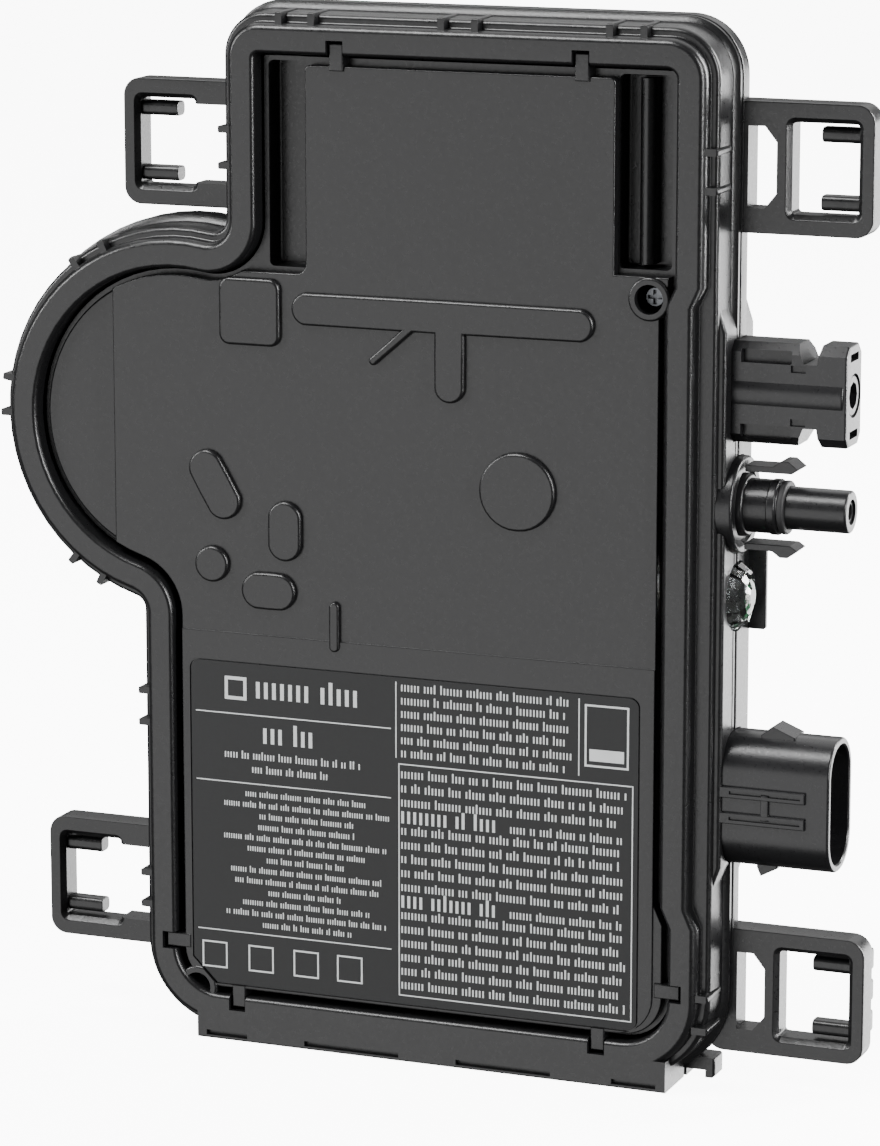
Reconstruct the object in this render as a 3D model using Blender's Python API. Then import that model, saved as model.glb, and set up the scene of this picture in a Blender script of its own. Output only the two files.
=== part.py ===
"""Micro inverter: a flat sealed housing with four bracket loops, two DC connectors and an AC connector.

The frame is the object's own: +Z up along the height, +X towards the connectors, +Y from the
labelled front into the depth. The bottom edge of the housing stands on z = 0 and the front band
lies on y = 0. All sizes are in metres.
"""

import math

import bmesh
import bpy
from mathutils import Matrix, Vector

MM = 0.001

# Overall sizes
HEIGHT = 212.0 * MM  # from the bottom of the rear flange to its top
DEPTH = 30.2 * MM  # from the front band to the back of the tray
HALF_WIDTH_RIGHT = 58.3 * MM  # centre line to the band's outer edge, connector side
LEFT_UPPER = 40.8 * MM  # centre line to the band's outer edge above the round bulge
LEFT_LOWER = 59.7 * MM  # centre line to the band's outer edge below the round bulge

# Outline of the body
FLANGE_OVERHANG = 3.6 * MM  # the flange stands this far outside the band
BULGE_X = -52.8 * MM
BULGE_Z = 128.2 * MM
BULGE_RADIUS = 36.9 * MM
BULGE_FILLET = 4.6 * MM  # hollow corner between the bulge and the straight sides
TOP_LEFT_RADIUS = 6.8 * MM
TOP_RIGHT_RADIUS = 7.8 * MM
BOTTOM_RADIUS = 15.5 * MM
LEAST_RADIUS = 0.8 * MM
WAIST_TOP = 161.0 * MM
WAIST_BOTTOM = 34.0 * MM
WAIST_SLOPE = 4.0 * MM
WAIST_INSET = 1.8 * MM  # the band steps in by this much beside the connector wall

# Depth stations
WALL = 2.0 * MM
GAP = 0.3 * MM  # clearance between pieces that touch
BAND_WIDTH = 5.8 * MM
FRAME_BACK = 12.0 * MM  # back of the front frame's skirt
SEAM = 0.5 * MM  # parting line between frame and flange
FLANGE_FRONT = FRAME_BACK + SEAM
FLANGE_THICKNESS = 3.9 * MM
SEAT_FRONT = 6.0 * MM  # front of the ledge that carries the cover plate
SEAT_WIDTH = 2.6 * MM
SEAT_INNER = BAND_WIDTH + 0.1 * MM + SEAT_WIDTH  # from the band's outer edge to the ledge's inner one
PLATE_THICKNESS = 1.8 * MM
PANEL_FRONT = 1.5 * MM  # front of the cover's main raised panel
BULGE_PANEL_FRONT = 3.0 * MM
PAD_RISE = 1.0 * MM
PLATE_EDGE_GAP = 0.6 * MM
GROOVE = 1.4 * MM  # groove between the band and the raised panel

# Bottom skirt
SKIRT_LEFT = -LEFT_LOWER + 10.6 * MM
SKIRT_RIGHT = HALF_WIDTH_RIGHT - 6.0 * MM
SKIRT_TOP = 6.5 * MM
SKIRT_FRONT = 0.013 * MM  # a hair behind the band, so the two never share a plane
SLOT_HEIGHT = 1.3 * MM
SLOT_DEPTH = 1.2 * MM

# Connector wall
WALL_X = HALF_WIDTH_RIGHT + 3.3 * MM  # outer face of the connector wall
WALL_ROOT_X = HALF_WIDTH_RIGHT - 4.3 * MM
WALL_LOW = 46.0 * MM
WALL_HIGH = 152.0 * MM
WALL_FAIRING = 10.5 * MM
WALL_FRONT = 4.6 * MM
WALL_BACK = 22.0 * MM
AXIS_Y = 13.3 * MM  # depth of every connector's axis
FACE_X = WALL_X + GAP  # where the connectors' outer bodies start
DC_LENGTH = 22.7 * MM  # a DC connector beyond the wall
CONNECTOR_END = FACE_X + DC_LENGTH

# Tray
TRAY_INSET = 2.6 * MM
TRAY_DRAFT = 1.0 * MM
FLOOR = 2.2 * MM
SEAL_WIDTH = 2.0 * MM
SEAL_DEPTH = 1.9 * MM
SEAL_OUT = 1.2 * MM  # outer edge of the seal, outside the band's edge
TRAY_INNER = -TRAY_INSET - WALL - 0.3 * MM

# Bracket loops
LOOP_HEIGHT = 25.5 * MM
LOOP_DEPTH = 6.0 * MM
LOOP_RING = 3.2 * MM
LOOP_FRONT = 12.9 * MM
LOOP_FUNNEL = 1.1 * MM
LOOP_CORNER = 3.0 * MM
LOOP_WEB = (7.2 * MM, 10.6 * MM)  # the web between the side window and the main one
LOOP_ROOT = 1.8 * MM  # how far a loop runs into the flange
CLIP_BAR_LENGTH = 7.6 * MM
CLIP_BAR_RADIUS = 1.35 * MM

# Screws
SCREW_RADIUS = 1.6 * MM
SCREW_HEAD_RADIUS = 2.4 * MM
SCREW_HEAD_HEIGHT = 1.8 * MM
SCREW_HEAD_Y = 4.6 * MM
SCREW_LENGTH = 14.0 * MM
SCREW_COLUMN_RADIUS = 3.4 * MM
SCREW_COLUMN_FRONT = 9.6 * MM
UPPER_SCREW = (HALF_WIDTH_RIGHT - 11.2 * MM, 158.3 * MM)
LOWER_SCREW = (-LEFT_LOWER + 10.3 * MM, 10.6 * MM)

# Circuit board
BOARD_FRONT = 14.6 * MM
BOARD_THICKNESS = 1.6 * MM
BOARD_INSET = 7.8 * MM
POST_RADIUS = 3.0 * MM
POSTS = (
    (-26.0 * MM, HEIGHT - 22.0 * MM),
    (30.0 * MM, HEIGHT - 20.0 * MM),
    (-46.0 * MM, 40.0 * MM),
    (40.0 * MM, 24.0 * MM),
)
COMPONENT_FRONT = BOARD_FRONT + BOARD_THICKNESS + GAP

# Pieces on the board: (x, z) of the middle, and (width, depth, height)
TRANSFORMER_SPOT = (6.0 * MM, 128.0 * MM)
TRANSFORMER_HALF = (15.0 * MM, 13.0 * MM)
TOROID_RADII = (9.0 * MM, 20.0 * MM)
TOROID_STEPS = 28
WINDING_SPANS = ((20, 160), (200, 340))  # degrees round the toroid
WINDING_STEPS = 12
CAPACITOR_RADIUS = 4.2 * MM
CAPACITOR_LENGTH = 20.0 * MM
CAPACITOR_START = -12.0 * MM
CAPACITOR_PITCH = 11.0 * MM
FILM_SPOT = (-10.0 * MM, 84.0 * MM)
FILM_SIZE = (26.0 * MM, 9.0 * MM, 11.0 * MM)
RELAY_SPOTS = ((34.0 * MM, 84.0 * MM), (34.0 * MM, 58.0 * MM))
RELAY_SIZE = (12.0 * MM, 9.2 * MM, 20.0 * MM)
CHIP_SPOT = (2.0 * MM, 58.0 * MM)
CHIP_SIZE = (14.0 * MM, 1.4 * MM, 14.0 * MM)
MOSFET_SPOT = (33.0 * MM, 122.0 * MM)
MOSFET_SIZE = (8.0 * MM, 1.2 * MM, 9.0 * MM)
MOSFET_PITCH = (10.5 * MM, 12.0 * MM)
SPREADER_LIMITS = ((28.0 * MM, 48.0 * MM), (116.5 * MM, 139.5 * MM))
LED_SIZE = (3.0 * MM, 1.8 * MM, 3.0 * MM)
LED_X = HALF_WIDTH_RIGHT - 8.9 * MM
CASE_STEPS = 2

# Connectors and lens
UPPER_DC_Z = 140.1 * MM
LOWER_DC_Z = 117.3 * MM
LENS_Z = 99.0 * MM
AC_Z = 58.9 * MM
DC_NECK_RADIUS = 4.2 * MM
LENS_NECK_RADIUS = 2.6 * MM
AC_NECK_HEIGHT = 20.0 * MM
AC_NECK_DEPTH = 8.8 * MM
NECK_START = WALL_X - 10.6 * MM
CONTACT_TAIL = WALL_X - 16.1 * MM
PIN_RADIUS = 1.3 * MM
LENS_GUARD_X = WALL_X + 3.6 * MM
LENS_GUARD_HALF = 8.0 * MM
LENS_STEPS = ((0.0, 6.9), (0.9, 6.7), (1.8, 5.4), (2.6, 3.2), (3.0, 1.2))  # mm out of the wall, radius

DC_BODY_HALF = 9.9 * MM
DC_BODY_DEPTH = 10.6 * MM
DC_BODY_CHAMFER = 1.8 * MM
DC_BELLY_RADIUS = 5.6 * MM
DC_POCKET_OFFSET = 6.9 * MM
DC_POCKET_HALF = 1.4 * MM
DC_SLOT_OFFSET = 7.6 * MM
DC_SLOT_HALF = 0.9 * MM
DC_WAIST_HALF = 6.2 * MM
DC_WAIST_X = (FACE_X + 13.5 * MM, FACE_X + 16.9 * MM)
PORT_RADIUS = 3.3 * MM
PORT_SIDES = 8
PORT_DEPTH = 18.0 * MM

DISC_RADIUS = 9.7 * MM
DISC_THICKNESS = 1.6 * MM
BARREL_RADIUS = 5.3 * MM
BARREL_END = FACE_X + 8.5 * MM
SLEEVE_RADIUS = 4.2 * MM
SOCKET_BORE = 0.8 * MM
ARM_OFFSET = 7.7 * MM  # middle of a latch arm from the connector's axis
ARM_THICKNESS = 1.3 * MM
ARM_WIDTH = 6.0 * MM
ARM_END = FACE_X + 12.7 * MM
BARB_START = ARM_END - 4.0 * MM
BARB_RISE = 1.2 * MM
HINGE_X = FACE_X + DISC_THICKNESS + GAP

AC_HEIGHT = 26.8 * MM
AC_DEPTH = 15.5 * MM
AC_WALL = 1.7 * MM
AC_END = FACE_X + 21.4 * MM
AC_INSERT_END = AC_END - 9.3 * MM
AC_PIN_END = AC_END - 7.3 * MM
AC_FLOOR = FACE_X + 2.2 * MM  # floor of the shroud's cavity
AC_PINS = (6.6 * MM, 0.0, -6.6 * MM)  # from the connector's middle
AC_RAMPS = (  # side, start, peak and end beyond the wall
    (1, 6.0 * MM, 8.5 * MM, 12.9 * MM),
    (-1, 5.5 * MM, 6.3 * MM, 9.7 * MM),
)
AC_RAIL_OFFSET = 2.55 * MM
AC_RAIL_HALF = 1.2 * MM

# Cover and frame features
SKIRT_SLOTS = (
    (-47.1 * MM, -38.0 * MM),
    (-25.3 * MM, -4.6 * MM),
    (7.8 * MM, 28.1 * MM),
    (41.0 * MM, 50.3 * MM),
)
SLOT_Z = 1.25 * MM
RIB_WIDTH = 1.4 * MM
RIB_DEPTH = (0.7 * MM, 9.6 * MM)
RIB_REACH = (-1.6 * MM, 2.3 * MM)  # from the outline: inwards, outwards
TOP_RIBS = (-29.9 * MM, -23.0 * MM, 4.2 * MM, 11.2 * MM, 38.7 * MM, 45.6 * MM)
SIDE_RIBS = (HEIGHT - 25.0 * MM, HEIGHT - 32.4 * MM, 20.0 * MM, 13.4 * MM)
UPPER_LEFT_RIBS = (HEIGHT - 24.8 * MM, HEIGHT - 32.0 * MM)
LOWER_LEFT_RIBS = (72.0 * MM, 65.4 * MM, 33.6 * MM, 27.0 * MM)
BULGE_RIBS = (115.0, 126.0, 170.0, 181.0, 232.0, 243.0)  # degrees round the bulge
SCREW_BOSS_RADIUS = 4.3 * MM
SCREW_BOSS_LENGTH = 8.1 * MM
CLIPS_TOP = (-17.7 * MM, 33.2 * MM)
CLIPS_BOTTOM = (-40.2 * MM, 37.7 * MM)
CLIP_LEFT_Z = 20.0 * MM
CLIP_RIGHT_Z = 20.7 * MM
PANEL_LEFT = BULGE_X - 14.1 * MM
TOP_PANEL_LEFT = -LEFT_UPPER + 16.2 * MM
TOP_PANEL_RIGHT = HALF_WIDTH_RIGHT - 18.5 * MM
TOP_PANEL_TOP = HEIGHT - FLANGE_OVERHANG - BAND_WIDTH - 2.2 * MM
PAN_BOTTOM_LEFT = 159.2 * MM
PAN_BOTTOM_RIGHT = 162.6 * MM
BULGE_PANEL_RADIUS = BULGE_RADIUS - BAND_WIDTH - GROOVE - 0.1 * MM
STEP_Z = 85.7 * MM
PAN_FLOOR = 8.6 * MM
PAN_WALL = 1.4 * MM
PAN_REACH = SEAT_INNER + GAP + PAN_WALL  # from the band's outer edge to the inside of a pan
PAN_TOP = HEIGHT - FLANGE_OVERHANG - PAN_REACH
PANS = (
    ((-LEFT_UPPER + PAN_REACH, 162.0 * MM), (TOP_PANEL_LEFT - 0.8 * MM, PAN_TOP)),
    ((TOP_PANEL_RIGHT + 1.2 * MM, 165.5 * MM), (HALF_WIDTH_RIGHT - PAN_REACH, PAN_TOP)),
)
PAN_RIB_X = TOP_PANEL_RIGHT + 4.4 * MM
PAN_RIB_RADIUS = 1.5 * MM
LABEL_PANEL_LEFT = -LEFT_LOWER + BAND_WIDTH + 1.6 * MM
LABEL_PANEL_RIGHT = HALF_WIDTH_RIGHT - WAIST_INSET - BAND_WIDTH - 2.3 * MM
LABEL_PANEL_BOTTOM = FLANGE_OVERHANG + BAND_WIDTH + 0.8 * MM
LABEL_LEFT = LABEL_PANEL_LEFT + 2.1 * MM
LABEL_RIGHT = LABEL_PANEL_RIGHT - 2.6 * MM
LABEL_BOTTOM = LABEL_PANEL_BOTTOM + 1.7 * MM
LABEL_TOP = 79.5 * MM
LABEL_POCKET = 0.6 * MM
LABEL_PANEL_CORNER = 9.0 * MM
# Raised forms in mm: middle X, middle Z, length, width, turn in degrees
RAISED_PILLS = (
    (4.3, 152.4, 63.4, 6.6, 0),
    (6.1, 144.8, 18.6, 6.4, 90),
    (-5.4, 147.0, 14.0, 1.9, 41),
    (20.3, 118.8, 15.9, 15.8, 0),
    (-44.4, 115.8, 15.0, 7.6, -60),
    (-29.2, 107.3, 12.2, 7.3, 90),
    (-45.2, 99.5, 7.5, 7.4, 0),
    (-32.8, 94.8, 11.8, 7.6, 0),
    (-18.6, 88.6, 10.2, 2.2, 90),
)
SQUARE_PAD = ((-43.1 * MM, 144.4 * MM), (-29.9 * MM, 158.0 * MM))
SQUARE_PAD_CORNER = 2.4 * MM
BACK_HOLLOWS = (
    ((-20.0 * MM, 164.0 * MM), (36.0 * MM, 196.0 * MM)),
    ((-58.0 * MM, 94.0 * MM), (44.0 * MM, 150.0 * MM)),
    ((-40.0 * MM, 18.0 * MM), (44.0 * MM, 82.0 * MM)),
)
LABEL_CORNER = 2.0 * MM
LABEL_CUT = 5.2 * MM  # the corner cut off the label
LABEL_RISE = 0.35 * MM  # the label's panel stands this far in front of the cover's main panel
PANEL_ROUND = 0.7 * MM
BOARD_SCREW_RADIUS = 1.1 * MM
BOARD_SCREW_END = 22.0 * MM
LOOP_LENGTHS = (24.8 * MM, 26.0 * MM, 25.4 * MM, 27.0 * MM)
LOOPS = (
    (-LEFT_UPPER - FLANGE_OVERHANG, -1, LOOP_LENGTHS[0], HEIGHT - 42.2 * MM),
    (HALF_WIDTH_RIGHT + FLANGE_OVERHANG, 1, LOOP_LENGTHS[1], HEIGHT - 41.6 * MM),
    (-LEFT_LOWER - FLANGE_OVERHANG, -1, LOOP_LENGTHS[2], 14.6 * MM),
    (HALF_WIDTH_RIGHT + FLANGE_OVERHANG, 1, LOOP_LENGTHS[3], 6.2 * MM),
)

# Section of the front frame from the skirt to the band: outward growth, depth, share of the waist
FRAME_SECTION = (
    (3.4 * MM, FRAME_BACK, 0),
    (3.4 * MM, FRAME_BACK - 0.9 * MM, 0),
    (2.7 * MM, FRAME_BACK - 1.2 * MM, 0),
    (2.1 * MM, FRAME_BACK - 2.2 * MM, 0),
    (1.8 * MM, 4.4 * MM, 0),
    (1.4 * MM, 3.5 * MM, 0),
    (0.9 * MM, 3.2 * MM, 0),
    (0.1 * MM, 3.2 * MM, 1),
    (0.0 * MM, 1.9 * MM, 1),
    (-0.5 * MM, 0.6 * MM, 1),
    (-1.5 * MM, 0.0 * MM, 1),
    (0.9 * MM - BAND_WIDTH, 0.0 * MM, 1),
    (0.2 * MM - BAND_WIDTH, 0.35 * MM, 1),
    (-0.1 * MM - BAND_WIDTH, 1.2 * MM, 1),
    (-0.1 * MM - BAND_WIDTH, SEAT_FRONT, 1),
    (-SEAT_INNER, SEAT_FRONT, 1),
    (-SEAT_INNER, SEAT_FRONT + WALL, 1),
    (-4.0 * MM, SEAT_FRONT + WALL, 1),
    (-3.9 * MM, WALL, 1),
    (-2.0 * MM, WALL, 1),
    (-0.4 * MM, 4.6 * MM, 0),
    (-0.2 * MM, FRAME_BACK, 0),
)

# The origin is the bottom centre of the whole part's box
LEFT_EDGE = BULGE_X - BULGE_RADIUS - FLANGE_OVERHANG
RIGHT_EDGE = HALF_WIDTH_RIGHT + FLANGE_OVERHANG + max(LOOP_LENGTHS)
ORIGIN_SHIFT = (-(LEFT_EDGE + RIGHT_EDGE) / 2, -DEPTH / 2, 0.0)

# Fineness of round shapes
ARC_STEPS = 3
BULGE_STEPS = 14
ROUND = 12  # sides of a small round piece
ROUND_BOSS = 16
ROUND_LARGE = 24
ROUND_SMALL = 10


# ---------------------------------------------------------------- helpers
def clear_scene():
    for obj in list(bpy.data.objects):
        bpy.data.objects.remove(obj, do_unlink=True)


def principled(name, colour, roughness, metallic=0.0, transmission=0.0):
    material = bpy.data.materials.new(name)
    material.use_nodes = True
    shader = material.node_tree.nodes["Principled BSDF"]
    shader.inputs["Base Color"].default_value = (*colour, 1.0)
    shader.inputs["Roughness"].default_value = roughness
    shader.inputs["Metallic"].default_value = metallic
    shader.inputs["Transmission Weight"].default_value = transmission
    return material


def add_origin():
    """The empty that every piece hangs from, so the world origin is the part's bottom centre."""
    origin = bpy.data.objects.new("part_origin", None)
    origin.location = ORIGIN_SHIFT
    bpy.context.scene.collection.objects.link(origin)


def new_object(name, shape, material, smooth_angle=35.0):
    """A named object that holds a bmesh, shaded smooth below the given angle."""
    mesh = bpy.data.meshes.new(name)
    bmesh.ops.recalc_face_normals(shape, faces=shape.faces)
    shape.to_mesh(mesh)
    shape.free()
    mesh.shade_smooth()
    mesh.set_sharp_from_angle(angle=math.radians(smooth_angle))
    mesh.materials.append(material)
    obj = bpy.data.objects.new(name, mesh)
    obj.parent = bpy.data.objects["part_origin"]
    bpy.context.scene.collection.objects.link(obj)
    return obj


def add_boolean(obj, shape, operation):
    """Adds or cuts a helper shape with a live Boolean, and hides the helper."""
    helper = new_object(f"{obj.name}_{operation.lower()}", shape, obj.data.materials[0])
    helper.hide_render = True
    helper.display_type = "WIRE"
    modifier = obj.modifiers.new(helper.name, "BOOLEAN")
    modifier.operation = operation
    modifier.solver = "EXACT"
    modifier.object = helper
    return helper


def join(obj, shape):
    add_boolean(obj, shape, "UNION")


def cut(obj, shape):
    add_boolean(obj, shape, "DIFFERENCE")


def loft(rings, closed=False):
    """Skins rings that hold the same number of points; open ends get a cap."""
    shape = bmesh.new()
    loops = [[shape.verts.new(point) for point in ring] for ring in rings]
    count = len(loops[0])
    pairs = list(zip(loops, loops[1:]))
    if closed:
        pairs.append((loops[-1], loops[0]))
    for first, second in pairs:
        for i in range(count):
            j = (i + 1) % count
            shape.faces.new((first[i], first[j], second[j], second[i]))
    if not closed:
        shape.faces.new(loops[0])
        shape.faces.new(loops[-1])
    bmesh.ops.recalc_face_normals(shape, faces=shape.faces)
    return shape


def plane_ring(outline, y):
    return [(x, y, z) for x, z in outline]


def prism(outline, front, back):
    """An XZ outline that runs from one depth to another."""
    return loft([plane_ring(outline, front), plane_ring(outline, back)])


def box(x, y, z):
    """A block between pairs of limits."""
    return prism(((x[0], z[0]), (x[1], z[0]), (x[1], z[1]), (x[0], z[1])), y[0], y[1])


def turned(profile, centre, axis, sides=ROUND):
    """Turns (along, radius) stations about an axis through the centre."""
    turn = Vector((0, 0, 1)).rotation_difference(Vector(axis)).to_matrix()
    rings = []
    for along, radius in profile:
        ring = []
        for i in range(sides):
            angle = 2 * math.pi * (i + 0.5) / sides
            point = Vector((radius * math.cos(angle), radius * math.sin(angle), along))
            ring.append(Vector(centre) + turn @ point)
        rings.append(ring)
    return loft(rings)


def rod(start, end, radius, sides=ROUND):
    start, end = Vector(start), Vector(end)
    length = (end - start).length
    return turned(((0, radius), (length, radius)), start, (end - start).normalized(), sides)


def arc(centre, radius, start, end, steps):
    """Points on a circle from one angle to another, in degrees, both ends in."""
    points = []
    for i in range(steps + 1):
        angle = math.radians(start + (end - start) * i / steps)
        points.append((centre[0] + radius * math.cos(angle), centre[1] + radius * math.sin(angle)))
    return points


def rounded_box_outline(low, high, radius, steps=ARC_STEPS):
    """A rectangle in a plane with round corners."""
    radius = min(radius, (high[0] - low[0]) / 2.001, (high[1] - low[1]) / 2.001)
    left, right = low[0] + radius, high[0] - radius
    bottom, top = low[1] + radius, high[1] - radius
    return (
        arc((left, bottom), radius, 180, 270, steps)
        + arc((right, bottom), radius, 270, 360, steps)
        + arc((right, top), radius, 0, 90, steps)
        + arc((left, top), radius, 90, 180, steps)
    )


def pill_outline(centre, length, width, angle=0.0, steps=ARC_STEPS):
    """A round-ended bar about a centre, turned by an angle in degrees."""
    half = (length - width) / 2
    points = arc((half, 0), width / 2, -90, 90, steps) + arc((-half, 0), width / 2, 90, 270, steps)
    turn = math.radians(angle)
    return [
        (
            centre[0] + x * math.cos(turn) - z * math.sin(turn),
            centre[1] + x * math.sin(turn) + z * math.cos(turn),
        )
        for x, z in points
    ]


def pillow(outline_at, front, back, bevel):
    """A raised form with a bevelled front edge; outline_at gives the outline for an inset."""
    return loft(
        [
            plane_ring(outline_at(bevel), front),
            plane_ring(outline_at(bevel * 0.3), front + bevel * 0.3),
            plane_ring(outline_at(0.0), front + bevel),
            plane_ring(outline_at(0.0), back),
        ]
    )


# ---------------------------------------------------------------- body outline
def body_outline(grow, waist=0.0):
    """The body's outline in XZ, grown outwards by an amount, with a waist at the connectors."""
    top = HEIGHT - FLANGE_OVERHANG + grow
    bottom = FLANGE_OVERHANG - grow
    right = HALF_WIDTH_RIGHT + grow
    left_upper = -LEFT_UPPER - grow
    left_lower = -LEFT_LOWER - grow
    bulge = BULGE_RADIUS + grow
    fillet = BULGE_FILLET - grow
    reach = bulge + fillet

    def corner(x, z, radius, sign_x, sign_z, start):
        radius = max(radius + grow, LEAST_RADIUS)
        return arc((x + sign_x * radius, z + sign_z * radius), radius, start, start + 90, ARC_STEPS)

    points = corner(left_lower, bottom, BOTTOM_RADIUS, 1, 1, 180)
    points += corner(right, bottom, BOTTOM_RADIUS, -1, 1, 270)
    for z, inset in (
        (WAIST_BOTTOM, 0.0),
        (WAIST_BOTTOM + WAIST_SLOPE, waist),
        (WAIST_TOP - WAIST_SLOPE, waist),
        (WAIST_TOP, 0.0),
    ):
        points.append((right - inset, z))
    points += corner(right, top, TOP_RIGHT_RADIUS, -1, -1, 0)
    points += corner(left_upper, top, TOP_LEFT_RADIUS, 1, -1, 90)
    upper_x = left_upper - fillet
    upper_z = BULGE_Z + math.sqrt(reach**2 - (upper_x - BULGE_X) ** 2)
    upper_turn = math.degrees(math.atan2(upper_z - BULGE_Z, upper_x - BULGE_X))
    lower_x = left_lower - fillet
    lower_z = BULGE_Z - math.sqrt(reach**2 - (lower_x - BULGE_X) ** 2)
    lower_turn = 360 + math.degrees(math.atan2(lower_z - BULGE_Z, lower_x - BULGE_X))
    points += arc((upper_x, upper_z), fillet, 360, 180 + upper_turn, ARC_STEPS)
    points += arc((BULGE_X, BULGE_Z), bulge, upper_turn, lower_turn, BULGE_STEPS)[1:-1]
    points += arc((lower_x, lower_z), fillet, lower_turn - 180, 0, ARC_STEPS)
    return points


def body_ring(grow, y, waist=0.0):
    return plane_ring(body_outline(grow, waist), y)


# ---------------------------------------------------------------- shells
def wall_outline(extra=0.0):
    """The connector wall, tapered into the side at both ends."""
    return (
        (WALL_ROOT_X, WALL_LOW - WALL_FAIRING),
        (WALL_X - 3.4 * MM, WALL_LOW - WALL_FAIRING),
        (WALL_X - extra, WALL_LOW),
        (WALL_X - extra, WALL_HIGH),
        (WALL_X - 3.4 * MM, WALL_HIGH + WALL_FAIRING),
        (WALL_ROOT_X, WALL_HIGH + WALL_FAIRING),
    )


def wall_openings(grow):
    """Where the connectors' necks and the lens pass the connector wall."""
    start, end = WALL_ROOT_X - 4 * MM, WALL_X + 4 * MM
    return [
        rod((start, AXIS_Y, UPPER_DC_Z), (end, AXIS_Y, UPPER_DC_Z), DC_NECK_RADIUS + grow),
        rod((start, AXIS_Y, LOWER_DC_Z), (end, AXIS_Y, LOWER_DC_Z), DC_NECK_RADIUS + grow),
        rod((start, AXIS_Y, LENS_Z), (end, AXIS_Y, LENS_Z), LENS_NECK_RADIUS + grow),
        side_pill(AC_Z, start, end, AC_NECK_HEIGHT + 2 * grow, AC_NECK_DEPTH + 2 * grow),
    ]


def side_pill(z, start, end, height, depth, bevel=0.0):
    """A stadium that runs along X, tall in Z."""

    def ring(x, inset):
        outline = pill_outline((0, 0), height - 2 * inset, depth - 2 * inset, 90)
        return [(x, AXIS_Y + across, z + along) for across, along in outline]

    stations = [(start, 0.0), (end - bevel, 0.0)]
    if bevel:
        stations.append((end, bevel))
    return loft([ring(x, inset) for x, inset in stations])


def front_frame(material):
    """The outer front shell: band, stepped side wall, seat for the cover, and skirt."""
    rings = [body_ring(grow, y, share * WAIST_INSET) for grow, y, share in FRAME_SECTION]
    frame = new_object("front_frame", loft(rings, closed=True), material)
    edge = 0.7 * MM
    block = loft(
        [
            plane_ring(wall_outline(edge), WALL_FRONT),
            plane_ring(wall_outline(), WALL_FRONT + edge),
            plane_ring(wall_outline(), FRAME_BACK),
        ]
    )
    join(frame, block)
    join(frame, box((SKIRT_LEFT, SKIRT_RIGHT), (SKIRT_FRONT, FRAME_BACK - 0.1 * MM), (0.0, SKIRT_TOP)))
    for left, right in SKIRT_SLOTS:
        outline = pill_outline(((left + right) / 2, SLOT_Z), right - left, SLOT_HEIGHT)
        cut(frame, prism(outline, -MM, SLOT_DEPTH))
    for spot in frame_ribs():
        rib = box(RIB_REACH, RIB_DEPTH, (-RIB_WIDTH / 2, RIB_WIDTH / 2))
        bmesh.ops.transform(rib, matrix=spot, verts=rib.verts)
        join(frame, rib)
    for pocket in clip_boxes(GAP):
        cut(frame, box(*pocket))
    for x, z in (UPPER_SCREW, LOWER_SCREW):
        boss_hole = rod((x, 0.7 * MM, z), (x, FRAME_BACK + MM, z), SCREW_BOSS_RADIUS + GAP, ROUND_BOSS)
        cut(frame, boss_hole)
    for opening in wall_openings(GAP):
        cut(frame, opening)
    return frame


def frame_ribs():
    """Where the short ribs cross the frame's ledge, each as a matrix that turns +X outwards."""
    spots = [(x, HEIGHT - FLANGE_OVERHANG, 90.0) for x in TOP_RIBS]
    spots += [(HALF_WIDTH_RIGHT, z, 0.0) for z in SIDE_RIBS]
    spots += [(-LEFT_UPPER, z, 180.0) for z in UPPER_LEFT_RIBS]
    spots += [(-LEFT_LOWER, z, 180.0) for z in LOWER_LEFT_RIBS]
    for angle in BULGE_RIBS:
        turn = math.radians(angle)
        spots.append((BULGE_X + BULGE_RADIUS * math.cos(turn), BULGE_Z + BULGE_RADIUS * math.sin(turn), angle))
    return [
        Matrix.Translation((x, 0, z)) @ Matrix.Rotation(math.radians(-angle), 4, "Y")
        for x, z, angle in spots
    ]


def clip_boxes(grow):
    """The cover's snap clips, which reach over the groove into the band."""
    half = 1.5 * MM + grow
    deep = (0.9 * MM, 4.4 * MM + grow)
    inner = BAND_WIDTH + GROOVE + 1.5 * MM
    bite = BAND_WIDTH - 2.4 * MM - grow
    top = HEIGHT - FLANGE_OVERHANG
    boxes = []
    if grow:
        deep = (-MM, deep[1])
    for x in CLIPS_TOP:
        boxes.append(((x - half, x + half), deep, (top - inner, top - bite)))
    for x in CLIPS_BOTTOM:
        boxes.append(((x - half, x + half), deep, (FLANGE_OVERHANG + bite, FLANGE_OVERHANG + inner)))
    boxes.append(((-LEFT_LOWER + bite, -LEFT_LOWER + inner), deep, (CLIP_LEFT_Z - half, CLIP_LEFT_Z + half)))
    right = HALF_WIDTH_RIGHT
    boxes.append(((right - inner, right - bite), deep, (CLIP_RIGHT_Z - half, CLIP_RIGHT_Z + half)))
    return boxes


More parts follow.
